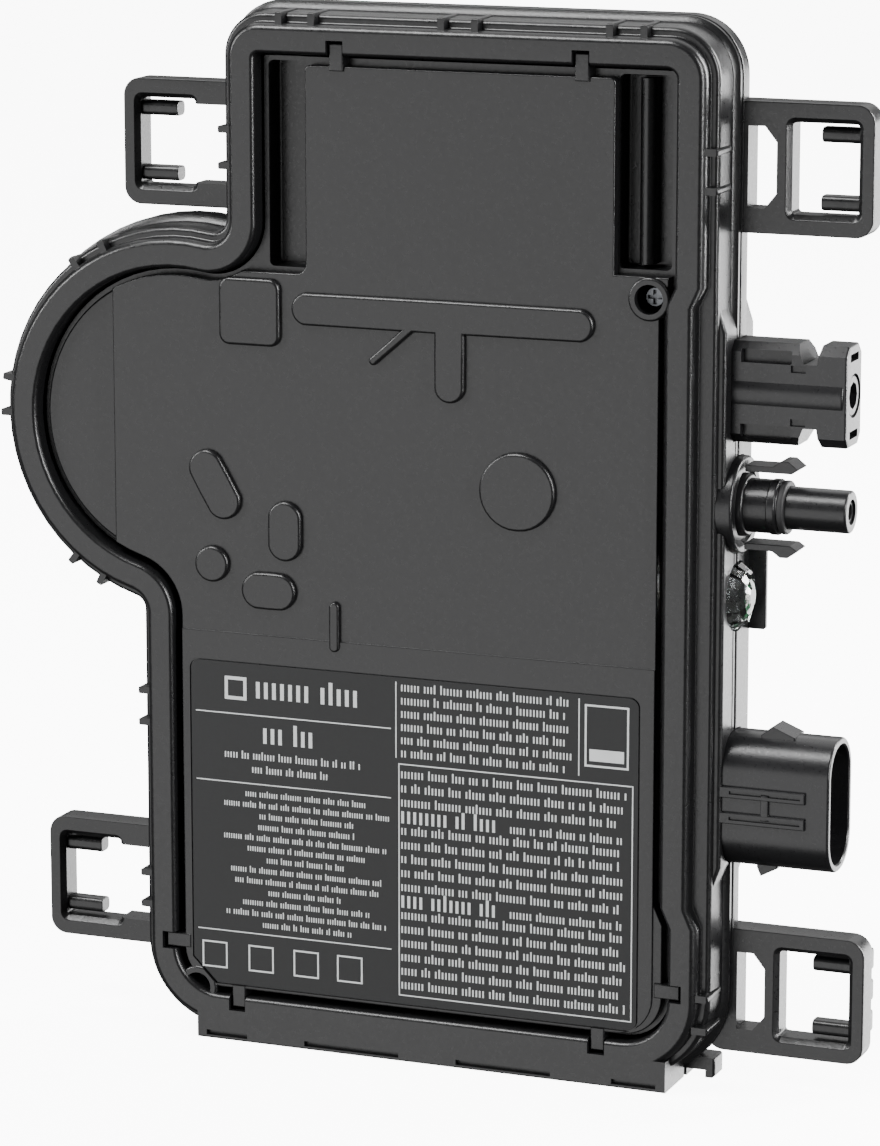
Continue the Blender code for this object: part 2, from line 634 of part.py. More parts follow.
def cover_plate(material):
    """The inner cover: a seated flange, raised panels, deep pans and clips."""
    edge = -BAND_WIDTH - 0.1 * MM - PLATE_EDGE_GAP
    back = SEAT_FRONT - GAP
    front = back - PLATE_THICKNESS
    flange = loft([body_ring(edge, front, WAIST_INSET), body_ring(edge, back, WAIST_INSET)])
    plate = new_object("cover_plate", flange, material)

    helper = add_boolean(plate, main_panel(front + 0.6 * MM), "UNION")
    cross = (
        (PANEL_LEFT, -MM),
        (HALF_WIDTH_RIGHT, -MM),
        (HALF_WIDTH_RIGHT, PAN_BOTTOM_RIGHT),
        (TOP_PANEL_RIGHT, PAN_BOTTOM_RIGHT),
        (TOP_PANEL_RIGHT, TOP_PANEL_TOP),
        (TOP_PANEL_LEFT, TOP_PANEL_TOP),
        (TOP_PANEL_LEFT, PAN_BOTTOM_LEFT),
        (PANEL_LEFT, PAN_BOTTOM_LEFT),
    )
    add_boolean(helper, prism(cross, -5 * MM, FRAME_BACK), "INTERSECT")
    join(plate, pillow(bulge_panel_outline, BULGE_PANEL_FRONT, front + 0.5 * MM, 0.4 * MM))
    join(plate, pillow(label_panel_outline, PANEL_FRONT - LABEL_RISE, PANEL_FRONT + 1.2 * MM, 0.3 * MM))
    for low, high in PANS:
        width = (low[0] - PAN_WALL, high[0] + PAN_WALL)
        height = (low[1] - PAN_WALL, high[1] + PAN_WALL)
        join(plate, box(width, (back - MM, PAN_FLOOR + PAN_WALL), height))
        cut(plate, prism(rounded_box_outline(low, high, 1.5 * MM), front - 4 * MM, PAN_FLOOR))
    (_, low_z), (_, high_z) = PANS[1]
    rib_y = PAN_FLOOR - 0.4 * MM
    rib_ends = (PAN_RIB_X, rib_y, low_z - 0.5 * MM), (PAN_RIB_X, rib_y, high_z + 0.5 * MM)
    join(plate, rod(*rib_ends, PAN_RIB_RADIUS, ROUND_BOSS))
    for shape_of in raised_forms():
        join(plate, pillow(shape_of, PANEL_FRONT - PAD_RISE, PANEL_FRONT + MM, 0.6 * MM))
    for spot in clip_boxes(0.0):
        join(plate, box(*spot))
    for low, high in BACK_HOLLOWS:
        outline = rounded_box_outline(low, high, 3 * MM)
        cut(plate, prism(outline, PANEL_FRONT + WALL, back + 4 * MM))
    for x, z in (UPPER_SCREW, LOWER_SCREW):
        chamfer = 0.5 * MM
        profile = (
            (0, SCREW_BOSS_RADIUS - chamfer),
            (chamfer, SCREW_BOSS_RADIUS),
            (SCREW_BOSS_LENGTH, SCREW_BOSS_RADIUS),
        )
        join(plate, turned(profile, (x, MM, z), (0, 1, 0), ROUND_BOSS))
        head_seat = SCREW_HEAD_Y + SCREW_HEAD_HEIGHT + GAP
        cut(plate, rod((x, -MM, z), (x, head_seat, z), SCREW_HEAD_RADIUS + GAP, ROUND_BOSS))
        cut(plate, rod((x, 0, z), (x, FRAME_BACK, z), SCREW_RADIUS + GAP))
    cut(plate, prism(label_outline(GAP), -MM, PANEL_FRONT - LABEL_RISE + LABEL_POCKET))
    return plate


def main_panel(back):
    """The main raised panel before it is trimmed, with a rounded front edge."""
    edge = -BAND_WIDTH - 0.1 * MM - GROOVE
    stations = ((PANEL_ROUND, 0.0), (0.3 * PANEL_ROUND, 0.3 * PANEL_ROUND), (0.0, PANEL_ROUND))
    rings = [body_ring(edge - inset, PANEL_FRONT + behind, WAIST_INSET) for inset, behind in stations]
    return loft(rings + [body_ring(edge, back, WAIST_INSET)])


def bulge_panel_outline(inset):
    return arc((BULGE_X, BULGE_Z), BULGE_PANEL_RADIUS - inset, 0, 360, 2 * BULGE_STEPS)[:-1]


def label_panel_outline(inset):
    low = (LABEL_PANEL_LEFT + inset, LABEL_PANEL_BOTTOM + inset)
    high = (LABEL_PANEL_RIGHT - inset, STEP_Z - inset)
    return rounded_box_outline(low, high, LABEL_PANEL_CORNER)


def raised_forms():
    """The raised pads, boss and T ridge on the cover, as outlines that take an inset."""
    forms = []

    def pill(x, z, length, width, angle):
        spot = (x * MM, z * MM)
        forms.append(lambda inset: pill_outline(spot, length * MM - 2 * inset, width * MM - 2 * inset, angle))

    for form in RAISED_PILLS:
        pill(*form)
    (left, bottom), (right, top) = SQUARE_PAD
    forms.append(
        lambda inset: rounded_box_outline(
            (left + inset, bottom + inset), (right - inset, top - inset), SQUARE_PAD_CORNER
        )
    )
    return forms


def label_outline(grow):
    """The label: a rectangle with one corner cut off."""
    left, right = LABEL_LEFT - grow, LABEL_RIGHT + grow
    bottom, top = LABEL_BOTTOM - grow, LABEL_TOP + grow
    corner = LABEL_CORNER
    return (
        [(left, bottom + LABEL_CUT), (left + LABEL_CUT, bottom)]
        + arc((right - corner, bottom + corner), corner, 270, 360, ARC_STEPS)
        + arc((right - corner, top - corner), corner, 0, 90, ARC_STEPS)
        + arc((left + corner, top - corner), corner, 90, 180, ARC_STEPS)
    )


def name_label(material):
    front = PANEL_FRONT - LABEL_RISE
    sheet = prism(label_outline(0.0), front - 0.05 * MM, front + LABEL_POCKET - GAP)
    return new_object("name_label", sheet, material)


def bracket_loop(housing, inner_x, side, length, low):
    """One bracket loop: a ring with a side window, a web, a funnel and two clip bars."""
    high = low + LOOP_HEIGHT
    outer_x = inner_x + side * length
    back = LOOP_FRONT + LOOP_DEPTH
    left, right = sorted((inner_x - side * LOOP_ROOT, outer_x))
    bevel = 0.5 * MM
    front_outline = rounded_box_outline(
        (left + bevel, low + bevel), (right - bevel, high - bevel), LOOP_CORNER - bevel
    )
    outline = rounded_box_outline((left, low), (right, high), LOOP_CORNER)
    rings = [plane_ring(front_outline, LOOP_FRONT), plane_ring(outline, LOOP_FRONT + bevel)]
    join(housing, loft(rings + [plane_ring(outline, back)]))

    web_start, web_end = (inner_x + side * reach for reach in LOOP_WEB)
    ring_inner = outer_x - side * LOOP_RING
    side_window = sorted((inner_x + side * 0.8 * MM, web_start))
    main_window = sorted((web_end, ring_inner))
    windows = ((side_window, LOOP_RING + MM, 0.0), (main_window, LOOP_RING, LOOP_FUNNEL))
    for (left, right), inset, funnel in windows:
        window = rounded_box_outline((left, low + inset), (right, high - inset), 1.2 * MM)
        mouth = rounded_box_outline(
            (left - funnel, low + inset - LOOP_FUNNEL), (right + funnel, high - inset + LOOP_FUNNEL), 2.0 * MM
        )
        stations = ((mouth, -0.4 * MM), (mouth, 0.3 * MM), (window, 2.2 * MM), (window, LOOP_DEPTH + MM))
        cut(housing, loft([plane_ring(ring, LOOP_FRONT + behind) for ring, behind in stations]))
    bar_y = LOOP_FRONT + 3.8 * MM
    bar_inset = LOOP_RING + 2.4 * MM
    for z in (low + bar_inset, high - bar_inset):
        start = (ring_inner + side * MM, bar_y, z)
        end = (ring_inner - side * CLIP_BAR_LENGTH, bar_y, z)
        join(housing, rod(start, end, CLIP_BAR_RADIUS))


def rear_housing(material):
    """The rear tray with its flange, seal groove, connector wall, loops, posts and columns."""
    back = FLANGE_FRONT + FLANGE_THICKNESS
    groove_in = SEAL_OUT + GAP - SEAL_WIDTH - 2 * GAP
    groove_out = SEAL_OUT + GAP
    groove_floor = FLANGE_FRONT + SEAL_DEPTH
    edge = 0.4 * MM
    tray_back = -TRAY_INSET - TRAY_DRAFT
    stations = (
        (TRAY_INNER - TRAY_DRAFT, DEPTH - FLOOR),
        (TRAY_INNER, FLANGE_FRONT),
        (groove_in, FLANGE_FRONT),
        (groove_in, groove_floor),
        (groove_out, groove_floor),
        (groove_out, FLANGE_FRONT),
        (FLANGE_OVERHANG - edge, FLANGE_FRONT),
        (FLANGE_OVERHANG, FLANGE_FRONT + edge),
        (FLANGE_OVERHANG, back - edge),
        (FLANGE_OVERHANG - edge, back),
        (-TRAY_INSET + 0.7 * MM, back),
        (-TRAY_INSET, back + 0.7 * MM),
        (tray_back, DEPTH - 1.6 * MM),
        (tray_back - 0.5 * MM, DEPTH - 0.5 * MM),
        (tray_back - 1.6 * MM, DEPTH),
    )
    housing = new_object("rear_housing", loft([body_ring(grow, y) for grow, y in stations]), material)
    block = loft(
        [
            plane_ring(wall_outline(), FLANGE_FRONT),
            plane_ring(wall_outline(), WALL_BACK - MM),
            plane_ring(wall_outline(MM), WALL_BACK),
        ]
    )
    join(housing, block)
    for inner_x, side, length, low in LOOPS:
        bracket_loop(housing, inner_x, side, length, low)
    guard_depth = (WALL_BACK - 1.5 * MM, WALL_BACK - 0.05 * MM)
    guard_height = (LENS_Z - LENS_GUARD_HALF, LENS_Z + LENS_GUARD_HALF)
    join(housing, box((WALL_X - MM, LENS_GUARD_X), guard_depth, guard_height))
    floor_y = DEPTH - FLOOR + MM
    for x, z in POSTS:
        join(housing, rod((x, BOARD_FRONT + BOARD_THICKNESS + GAP, z), (x, floor_y, z), POST_RADIUS))
        cut(housing, rod((x, BOARD_FRONT, z), (x, BOARD_SCREW_END + MM, z), BOARD_SCREW_RADIUS + GAP))
    for x, z in (UPPER_SCREW, LOWER_SCREW):
        join(housing, rod((x, SCREW_COLUMN_FRONT, z), (x, floor_y, z), SCREW_COLUMN_RADIUS))
        end = SCREW_HEAD_Y + SCREW_LENGTH + MM
        cut(housing, rod((x, SCREW_COLUMN_FRONT - MM, z), (x, end, z), SCREW_RADIUS + GAP))
    for opening in wall_openings(GAP):
        cut(housing, opening)
    return housing


def housing_seal(material):
    """The seal in the flange's groove, open beside the connector wall."""
    inner, outer = SEAL_OUT - SEAL_WIDTH, SEAL_OUT
    front, back = FRAME_BACK + 0.2 * MM, FLANGE_FRONT + SEAL_DEPTH - GAP
    corners = ((inner, back), (outer, back), (outer, front), (inner, front))
    seal = new_object("housing_seal", loft([body_ring(grow, y) for grow, y in corners], closed=True), material)
    low, high = WALL_LOW - WALL_FAIRING - GAP, WALL_HIGH + WALL_FAIRING + GAP
    cut(seal, box((WALL_ROOT_X - 5 * MM, WALL_X + MM), (FRAME_BACK - MM, FLANGE_FRONT + 5 * MM), (low, high)))
    return seal


# ---------------------------------------------------------------- connectors
def side_box(x, half_height, depth, z):
    """A block along X that is centred on a connector's axis."""
    return box(x, (AXIS_Y - depth / 2, AXIS_Y + depth / 2), (z - half_height, z + half_height))


def side_rod(start, end, z, radius, sides=ROUND_SMALL, across=0.0):
    """A round bar along X on a connector's axis, or beside it."""
    return rod((start, AXIS_Y + across, z), (end, AXIS_Y + across, z), radius, sides)


def chamfered_side_box(x, half_height, depth, z, chamfer):
    """A block along X whose long edges are cut off."""
    half = depth / 2
    outline = [
        (-half, -half_height + chamfer),
        (-half + chamfer, -half_height),
        (half - chamfer, -half_height),
        (half, -half_height + chamfer),
    ]
    outline += [(-across, -along) for across, along in outline]
    return loft([[(at, AXIS_Y + across, z + along) for across, along in outline] for at in x])


def upper_dc_body(material):
    """The flat-sided DC connector with a waist, a round belly and a port in its end."""
    z = UPPER_DC_Z
    waist_start, waist_end = DC_WAIST_X
    root = chamfered_side_box((FACE_X, waist_start), DC_BODY_HALF, DC_BODY_DEPTH, z, DC_BODY_CHAMFER)
    body = new_object("upper_dc_body", root, material)
    join(body, side_box((waist_start - MM, waist_end + MM), DC_WAIST_HALF, DC_BODY_DEPTH - 0.6 * MM, z))
    join(body, chamfered_side_box((waist_end, CONNECTOR_END), DC_BODY_HALF, DC_BODY_DEPTH, z, DC_BODY_CHAMFER))
    join(body, side_rod(FACE_X + 0.01 * MM, CONNECTOR_END - 0.5 * MM, z, DC_BELLY_RADIUS, ROUND_LARGE))
    join(body, side_rod(NECK_START, FACE_X + MM, z, DC_NECK_RADIUS, ROUND))
    front = AXIS_Y - DC_BODY_DEPTH / 2
    for side in (-1, 1):
        pocket_z = z + side * DC_POCKET_OFFSET
        pocket_height = (pocket_z - DC_POCKET_HALF, pocket_z + DC_POCKET_HALF)
        cut(body, box((FACE_X + 1.5 * MM, FACE_X + 8.9 * MM), (front - MM, front + 1.6 * MM), pocket_height))
        slot_z = z + side * DC_SLOT_OFFSET
        slot_x = (CONNECTOR_END - 6 * MM, CONNECTOR_END + MM)
        cut(body, side_box(slot_x, DC_SLOT_HALF, 4.8 * MM, slot_z))
    port_floor = CONNECTOR_END - PORT_DEPTH
    cut(body, side_rod(port_floor, CONNECTOR_END + MM, z, PORT_RADIUS, PORT_SIDES))
    cut(body, side_rod(NECK_START - MM, port_floor + MM, z, PIN_RADIUS + GAP))
    return body


def contact(name, z, end, material, bore=0.0):
    """A round contact whose tail stands over the board; a pin has a pointed end, a socket a bore."""
    start = CONTACT_TAIL
    point = MM if not bore else 0.0
    profile = [(0.0, PIN_RADIUS * 0.7), (0.6 * MM, PIN_RADIUS), (end - start - point, PIN_RADIUS)]
    if not bore:
        profile.append((end - start, PIN_RADIUS * 0.5))
    pin = new_object(name, turned(profile, (start, AXIS_Y, z), (1, 0, 0), ROUND_SMALL), material)
    if bore:
        cut(pin, side_rod(end - 8 * MM, end + MM, z, bore))
    return pin


def lower_dc_body(material):
    """The round DC connector: flange disc, barrel, sleeve and a bore for its contact."""
    z = LOWER_DC_Z
    edge = 0.5 * MM
    steps = (
        (NECK_START, DC_NECK_RADIUS),
        (FACE_X, DC_NECK_RADIUS),
        (FACE_X, DISC_RADIUS),
        (FACE_X + DISC_THICKNESS, DISC_RADIUS - edge),
        (FACE_X + DISC_THICKNESS, BARREL_RADIUS),
        (BARREL_END - edge, BARREL_RADIUS),
        (BARREL_END, BARREL_RADIUS - edge),
        (BARREL_END, SLEEVE_RADIUS),
        (CONNECTOR_END - edge, SLEEVE_RADIUS),
        (CONNECTOR_END, SLEEVE_RADIUS - edge),
    )
    body = new_object("lower_dc_body", turned(steps, (0, AXIS_Y, z), (1, 0, 0), ROUND_LARGE), material)
    cut(body, side_rod(NECK_START - MM, CONNECTOR_END + MM, z, PIN_RADIUS + GAP))
    return body


def lower_dc_ring(material):
    """A sealing ring that sits on the sleeve against the barrel's shoulder."""
    inner, outer = SLEEVE_RADIUS + GAP, BARREL_RADIUS - 0.15 * MM
    start, end = BARREL_END + GAP, BARREL_END + 1.9 * MM
    crown = ((start + end) / 2, outer + 0.35 * MM)
    section = ((start, inner), (start, outer), crown, (end, outer), (end, inner))
    rings = []
    for x, radius in section:
        circle = arc((AXIS_Y, LOWER_DC_Z), radius, 0, 360, ROUND_LARGE)[:-1]
        rings.append([(x, y, z) for y, z in circle])
    return new_object("lower_dc_ring", loft(rings, closed=True), material)


def latch_arm(name, side, material):
    """One flexing arm with a barb; its origin is on the bending axis at its root."""
    half = ARM_THICKNESS / 2
    length = ARM_END - HINGE_X
    barb = BARB_START - HINGE_X
    outline = (
        (0.0, -half),
        (length - 1.6 * MM, -half),
        (length, 0.1 * MM),
        (barb + 1.4 * MM, half + BARB_RISE),
        (barb, half + BARB_RISE),
        (barb - 0.4 * MM, half),
        (0.0, half),
    )
    shape = prism([(x, side * z) for x, z in outline], -ARM_WIDTH / 2, ARM_WIDTH / 2)
    arm = new_object(name, shape, material)
    arm.location = (HINGE_X, AXIS_Y, LOWER_DC_Z + side * ARM_OFFSET)
    return arm


def ac_shroud(material):
    """The AC connector's oval shroud with its ramps, front rails and neck."""
    z = AC_Z
    body = side_pill(z, FACE_X, AC_END, AC_HEIGHT, AC_DEPTH, 0.5 * MM)
    shroud = new_object("ac_shroud", body, material)
    join(shroud, side_pill(z, NECK_START, FACE_X + MM, AC_NECK_HEIGHT, AC_NECK_DEPTH))
    for side, start, peak, end in AC_RAMPS:
        inner = z + side * (AC_HEIGHT / 2 - 1.6 * MM)
        outer = z + side * (AC_HEIGHT / 2 + 1.9 * MM)
        stations = ((start, inner), (end, inner), (peak + 1.2 * MM, outer), (peak, outer))
        outline = [(FACE_X + along, height) for along, height in stations]
        join(shroud, prism(outline, AXIS_Y - 3.2 * MM, AXIS_Y + 3.2 * MM))
    front = AXIS_Y - AC_DEPTH / 2
    for rail_z in (z + AC_RAIL_OFFSET, z - AC_RAIL_OFFSET):
        rail_height = (rail_z - AC_RAIL_HALF, rail_z + AC_RAIL_HALF)
        join(shroud, box((FACE_X + 0.01 * MM, FACE_X + 16.7 * MM), (front - 0.7 * MM, front + MM), rail_height))
    bridge_x = (FACE_X + 7.7 * MM, FACE_X + 9.3 * MM)
    bridge_height = (z - AC_RAIL_OFFSET, z + AC_RAIL_OFFSET)
    join(shroud, box(bridge_x, (front - 0.65 * MM, front + MM), bridge_height))
    cut(shroud, side_pill(z, AC_FLOOR, AC_END + MM, AC_HEIGHT - 2 * AC_WALL, AC_DEPTH - 2 * AC_WALL))
    for along in AC_PINS:
        cut(shroud, side_rod(NECK_START - MM, AC_FLOOR + MM, z + along, PIN_RADIUS + GAP))
    return shroud


def ac_insert(material):
    """The keyed insulator inside the AC shroud."""
    z = AC_Z
    start = AC_FLOOR + GAP
    height = AC_HEIGHT - 2 * AC_WALL - 5.0 * MM
    depth = AC_DEPTH - 2 * AC_WALL - 4.6 * MM
    insert = new_object("ac_insert", side_pill(z, start, AC_INSERT_END, height, depth, 0.5 * MM), material)
    for along in AC_PINS:
        cut(insert, side_rod(start - MM, AC_INSERT_END + MM, z + along, PIN_RADIUS + GAP))
    for side in (-1, 1):
        key_depth = sorted((AXIS_Y + side * 2.6 * MM, AXIS_Y + side * 4.6 * MM))
        join(insert, box((start + MM, AC_INSERT_END - 0.6 * MM), key_depth, (z + 1.6 * MM, z + 5 * MM)))
    return insert


def status_lens(material):
    """The clear domed lens whose stem passes the connector wall."""
    stem = LENS_NECK_RADIUS - GAP
    steps = [(WALL_ROOT_X, stem), (FACE_X, stem)]
    steps += [(FACE_X + out * MM, radius * MM) for out, radius in LENS_STEPS]
    return new_object("status_lens", turned(steps, (0, AXIS_Y, LENS_Z), (1, 0, 0), ROUND_LARGE), material)


# ---------------------------------------------------------------- fasteners and inside pieces
def screw(name, spot, head, shank, material):
    """A pan head screw with a cross recess; head is (front, radius, height), shank (radius, end)."""
    x, z = spot
    head_y, head_radius, head_height = head
    radius, end = shank
    length = end - head_y
    profile = (
        (0.0, head_radius * 0.75),
        (head_height * 0.4, head_radius),
        (head_height, head_radius),
        (head_height, radius),
        (length - radius, radius),
        (length, radius * 0.4),
    )
    obj = new_object(name, turned(profile, (x, head_y, z), (0, 1, 0)), material)
    arm, half = head_radius * 0.6, head_radius * 0.16
    depth = (head_y - MM, head_y + head_height * 0.5)
    cut(obj, box((x - arm, x + arm), depth, (z - half, z + half)))
    cut(obj, box((x - half, x + half), depth, (z - arm, z + arm)))
    return obj


def circuit_board(material):
    front, back = BOARD_FRONT, BOARD_FRONT + BOARD_THICKNESS
    sheet = loft([body_ring(-BOARD_INSET, front), body_ring(-BOARD_INSET, back)])
    board = new_object("circuit_board", sheet, material)
    for x, z in (UPPER_SCREW, LOWER_SCREW):
        cut(board, rod((x, front - MM, z), (x, back + MM, z), SCREW_COLUMN_RADIUS + 0.5 * MM))
    for x, z in POSTS:
        cut(board, rod((x, front - MM, z), (x, back + MM, z), BOARD_SCREW_RADIUS + GAP))
    return board


def part_box(name, centre, size, material, bevel=0.6 * MM, front=COMPONENT_FRONT):
    """A cased component that stands on the board; centre is (x, z), size (width, depth, height)."""
    (x, z), (width, depth, height) = centre, size
    low = (x - width / 2, z - height / 2)
    high = (x + width / 2, z + height / 2)
    inner = rounded_box_outline(
        (low[0] + bevel, low[1] + bevel), (high[0] - bevel, high[1] - bevel), bevel, CASE_STEPS
    )
    outer = rounded_box_outline(low, high, bevel * 2, CASE_STEPS)
    back = front + depth
    rings = [plane_ring(outer, front), plane_ring(outer, back - bevel), plane_ring(inner, back)]
    return new_object(name, loft(rings), material)


def transformer(core_material, wire_material):
    """A low ferrite core in two halves around a rectangular winding."""
    x, z = TRANSFORMER_SPOT
    half_w, half_h = TRANSFORMER_HALF
    start = COMPONENT_FRONT
    middle = start + 7.0 * MM
    end = start + 9.2 * MM
    leg = 5.0 * MM
    side = 3.0 * MM
    width, height = (x - half_w, x + half_w), (z - half_h, z + half_h)
    base = new_object("transformer_core_base", box(width, (start, middle), height), core_material)
    for left, right in ((x - half_w + side, x - leg), (x + leg, x + half_w - side)):
        cut(base, box((left, right), (start + 2.2 * MM, middle + MM), (z - half_h - MM, z + half_h + MM)))
    new_object("transformer_core_cap", box(width, (middle + GAP, end), height), core_material)
    inner = leg + GAP
    outer = half_w - side - GAP
    reach = half_h + GAP
    overhang = 6.0 * MM
    outer_outline = rounded_box_outline(
        (x - outer, z - reach - overhang), (x + outer, z + reach + overhang), 4 * MM
    )
    inner_outline = rounded_box_outline((x - inner, z - reach), (x + inner, z + reach), GAP)
    front, back = start + 2.5 * MM, middle - GAP
    corners = ((outer_outline, front), (outer_outline, back), (inner_outline, back), (inner_outline, front))
    rings = [plane_ring(outline, y) for outline, y in corners]
    new_object("transformer_winding", loft(rings, closed=True), wire_material)


def toroid_section(inner, outer, front, back, angle):
    """One cross-section of a square-edged ring at an angle round the bulge's centre."""
    turn = math.radians(angle)
    spots = ((inner, front), (outer, front), (outer, back), (inner, back))
    return [(BULGE_X + r * math.cos(turn), y, BULGE_Z + r * math.sin(turn)) for r, y in spots]


def inductor(core_material, wire_material):
    """A toroid in the round bulge with two half windings."""
    inner, outer = TOROID_RADII
    wire = 1.2 * MM
    cover = wire + GAP
    front = COMPONENT_FRONT + cover
    back = front + 5.8 * MM
    core = [toroid_section(inner, outer, front, back, 360 * i / TOROID_STEPS) for i in range(TOROID_STEPS)]
    new_object("inductor_core", loft(core, closed=True), core_material)
    for number, (start, end) in enumerate(WINDING_SPANS, 1):
        skins, holes = [], []
        for i in range(WINDING_STEPS + 1):
            angle = start + (end - start) * i / WINDING_STEPS
            skins.append(toroid_section(inner - cover, outer + cover, front - cover, back + cover, angle))
            holes.append(toroid_section(inner - GAP, outer + GAP, front - GAP, back + GAP, angle))
        new_object(f"inductor_winding_{number}", sleeve(skins, holes), wire_material)


def sleeve(outer_rings, inner_rings):
    """A tube wall between two lofts, open at both ends."""
    shape = bmesh.new()
    outer = [[shape.verts.new(p) for p in ring] for ring in outer_rings]
    inner = [[shape.verts.new(p) for p in ring] for ring in inner_rings]
    count = len(outer[0])
    for i in range(count):
        j = (i + 1) % count
        for k in range(len(outer) - 1):
            shape.faces.new((outer[k][i], outer[k][j], outer[k + 1][j], outer[k + 1][i]))
            shape.faces.new((inner[k][j], inner[k][i], inner[k + 1][i], inner[k + 1][j]))
        for k in (0, -1):
            shape.faces.new((outer[k][i], inner[k][i], inner[k][j], outer[k][j]))
    bmesh.ops.recalc_face_normals(shape, faces=shape.faces)
    return shape


def input_capacitors(material):
    """Four round cans that lie in a row under the top edge."""
    radius, length = CAPACITOR_RADIUS, CAPACITOR_LENGTH
    neck = 0.4 * MM
    profile = (
        (0, radius - neck),
        (neck, radius),
        (1.8 * MM, radius),
        (2.3 * MM, radius - neck),
        (2.8 * MM, radius),
        (length - neck, radius),
        (length, radius - neck),
    )
    for number in range(4):
        x = CAPACITOR_START + CAPACITOR_PITCH * number
        foot = (x, COMPONENT_FRONT + radius, HEIGHT - 28.0 * MM - length / 2)
        new_object(f"input_capacitor_{number + 1}", turned(profile, foot, (0, 0, 1)), material)


def power_stage(case_material, metal_material, pad_material):
    """Four flat transistors under a thermal pad and a finned heat spreader."""
    pitch_x, pitch_z = MOSFET_PITCH
    for number in range(4):
        spot = (MOSFET_SPOT[0] + pitch_x * (number % 2), MOSFET_SPOT[1] + pitch_z * (number // 2))
        part_box(f"dc_mosfet_{number + 1}", spot, MOSFET_SIZE, case_material, 0.2 * MM)
    pad_front = COMPONENT_FRONT + MOSFET_SIZE[1] + GAP
    pad_back = pad_front + 0.8 * MM
    width, height = SPREADER_LIMITS
    new_object("thermal_pad", box(width, (pad_front, pad_back), height), pad_material)
    front = pad_back + GAP
    spreader = new_object("heat_spreader", box(width, (front, front + 2 * MM), height), metal_material)
    fin_height = (height[0] + 0.1 * MM, height[1] - 0.1 * MM)
    for number in range(4):
        left = width[0] + 2.0 * MM + 5.0 * MM * number
        join(spreader, box((left, left + 1.4 * MM), (front + MM, front + 6.4 * MM), fin_height))


def potting_layer(material):
    """A thin bed of potting on the tray floor, cut out round the posts and columns."""
    back = DEPTH - FLOOR - GAP
    front = back - 1.2 * MM
    grow = TRAY_INNER - TRAY_DRAFT - 0.5 * MM
    layer = new_object("potting_layer", loft([body_ring(grow, front), body_ring(grow, back)]), material)
    for x, z in POSTS:
        cut(layer, rod((x, front - MM, z), (x, back + MM, z), POST_RADIUS + GAP))
    for x, z in (UPPER_SCREW, LOWER_SCREW):
        cut(layer, rod((x, front - MM, z), (x, back + MM, z), SCREW_COLUMN_RADIUS + GAP))
    return layer


def build():
    clear_scene()
    add_origin()
    shell = principled("moulded_black", (0.018, 0.018, 0.019), 0.5)
    connector = principled("connector_black", (0.012, 0.012, 0.013), 0.42)
    label = principled("label_charcoal", (0.03, 0.032, 0.032), 0.45)
    clear = principled("clear_polycarbonate", (0.9, 0.92, 0.95), 0.05, 0.0, 0.9)
    rubber = principled("silicone_grey", (0.12, 0.12, 0.12), 0.7)
    tin = principled("tinned_copper", (0.78, 0.77, 0.74), 0.28, 1.0)
    steel = principled("zinc_steel", (0.55, 0.56, 0.58), 0.35, 1.0)
    board = principled("solder_mask_green", (0.01, 0.09, 0.04), 0.4)
    ferrite = principled("ferrite_grey", (0.05, 0.05, 0.055), 0.6)
    copper = principled("enamelled_copper", (0.45, 0.16, 0.06), 0.35, 0.9)
    can = principled("aluminium_can", (0.6, 0.62, 0.65), 0.4, 1.0)
    case = principled("component_black", (0.02, 0.02, 0.02), 0.55)
    film = principled("film_grey", (0.2, 0.21, 0.22), 0.5)
    pad = principled("thermal_pink", (0.6, 0.3, 0.35), 0.7)
    potting = principled("potting_grey", (0.07, 0.07, 0.075), 0.6)
    led = principled("led_white", (0.85, 0.85, 0.8), 0.3)

    front_frame(shell)
    cover_plate(shell)
    rear_housing(shell)
    housing_seal(rubber)
    name_label(label)
    upper_dc_body(connector)
    contact("upper_dc_pin", UPPER_DC_Z, CONNECTOR_END - 3 * MM, tin)
    lower_dc_body(connector)
    contact("lower_dc_socket", LOWER_DC_Z, CONNECTOR_END - MM, tin, SOCKET_BORE)
    lower_dc_ring(rubber)
    latch_arm("latch_arm_upper", 1, connector)
    latch_arm("latch_arm_lower", -1, connector)
    ac_shroud(connector)
    ac_insert(connector)
    for number, along in enumerate(AC_PINS, 1):
        contact(f"ac_pin_{number}", AC_Z + along, AC_PIN_END, tin)
    status_lens(clear)
    head = (SCREW_HEAD_Y, SCREW_HEAD_RADIUS, SCREW_HEAD_HEIGHT)
    shank = (SCREW_RADIUS, SCREW_HEAD_Y + SCREW_LENGTH)
    screw("cover_screw_upper", UPPER_SCREW, head, shank, steel)
    screw("cover_screw_lower", LOWER_SCREW, head, shank, steel)
    circuit_board(board)
    head_height = 1.2 * MM
    head = (BOARD_FRONT - GAP - head_height, 2.0 * MM, head_height)
    for number, spot in enumerate(POSTS, 1):
        screw(f"board_screw_{number}", spot, head, (BOARD_SCREW_RADIUS, BOARD_SCREW_END), steel)
    transformer(ferrite, copper)
    inductor(ferrite, copper)
    input_capacitors(can)
    part_box("film_capacitor", FILM_SPOT, FILM_SIZE, film)
    for number, spot in enumerate(RELAY_SPOTS, 1):
        part_box(f"relay_{number}", spot, RELAY_SIZE, case)
    part_box("control_chip", CHIP_SPOT, CHIP_SIZE, case, 0.2 * MM)
    power_stage(case, can, pad)
    led_front = BOARD_FRONT - GAP - LED_SIZE[1]
    part_box("status_led", (LED_X, LENS_Z), LED_SIZE, led, 0.2 * MM, led_front)
    potting_layer(potting)


build()
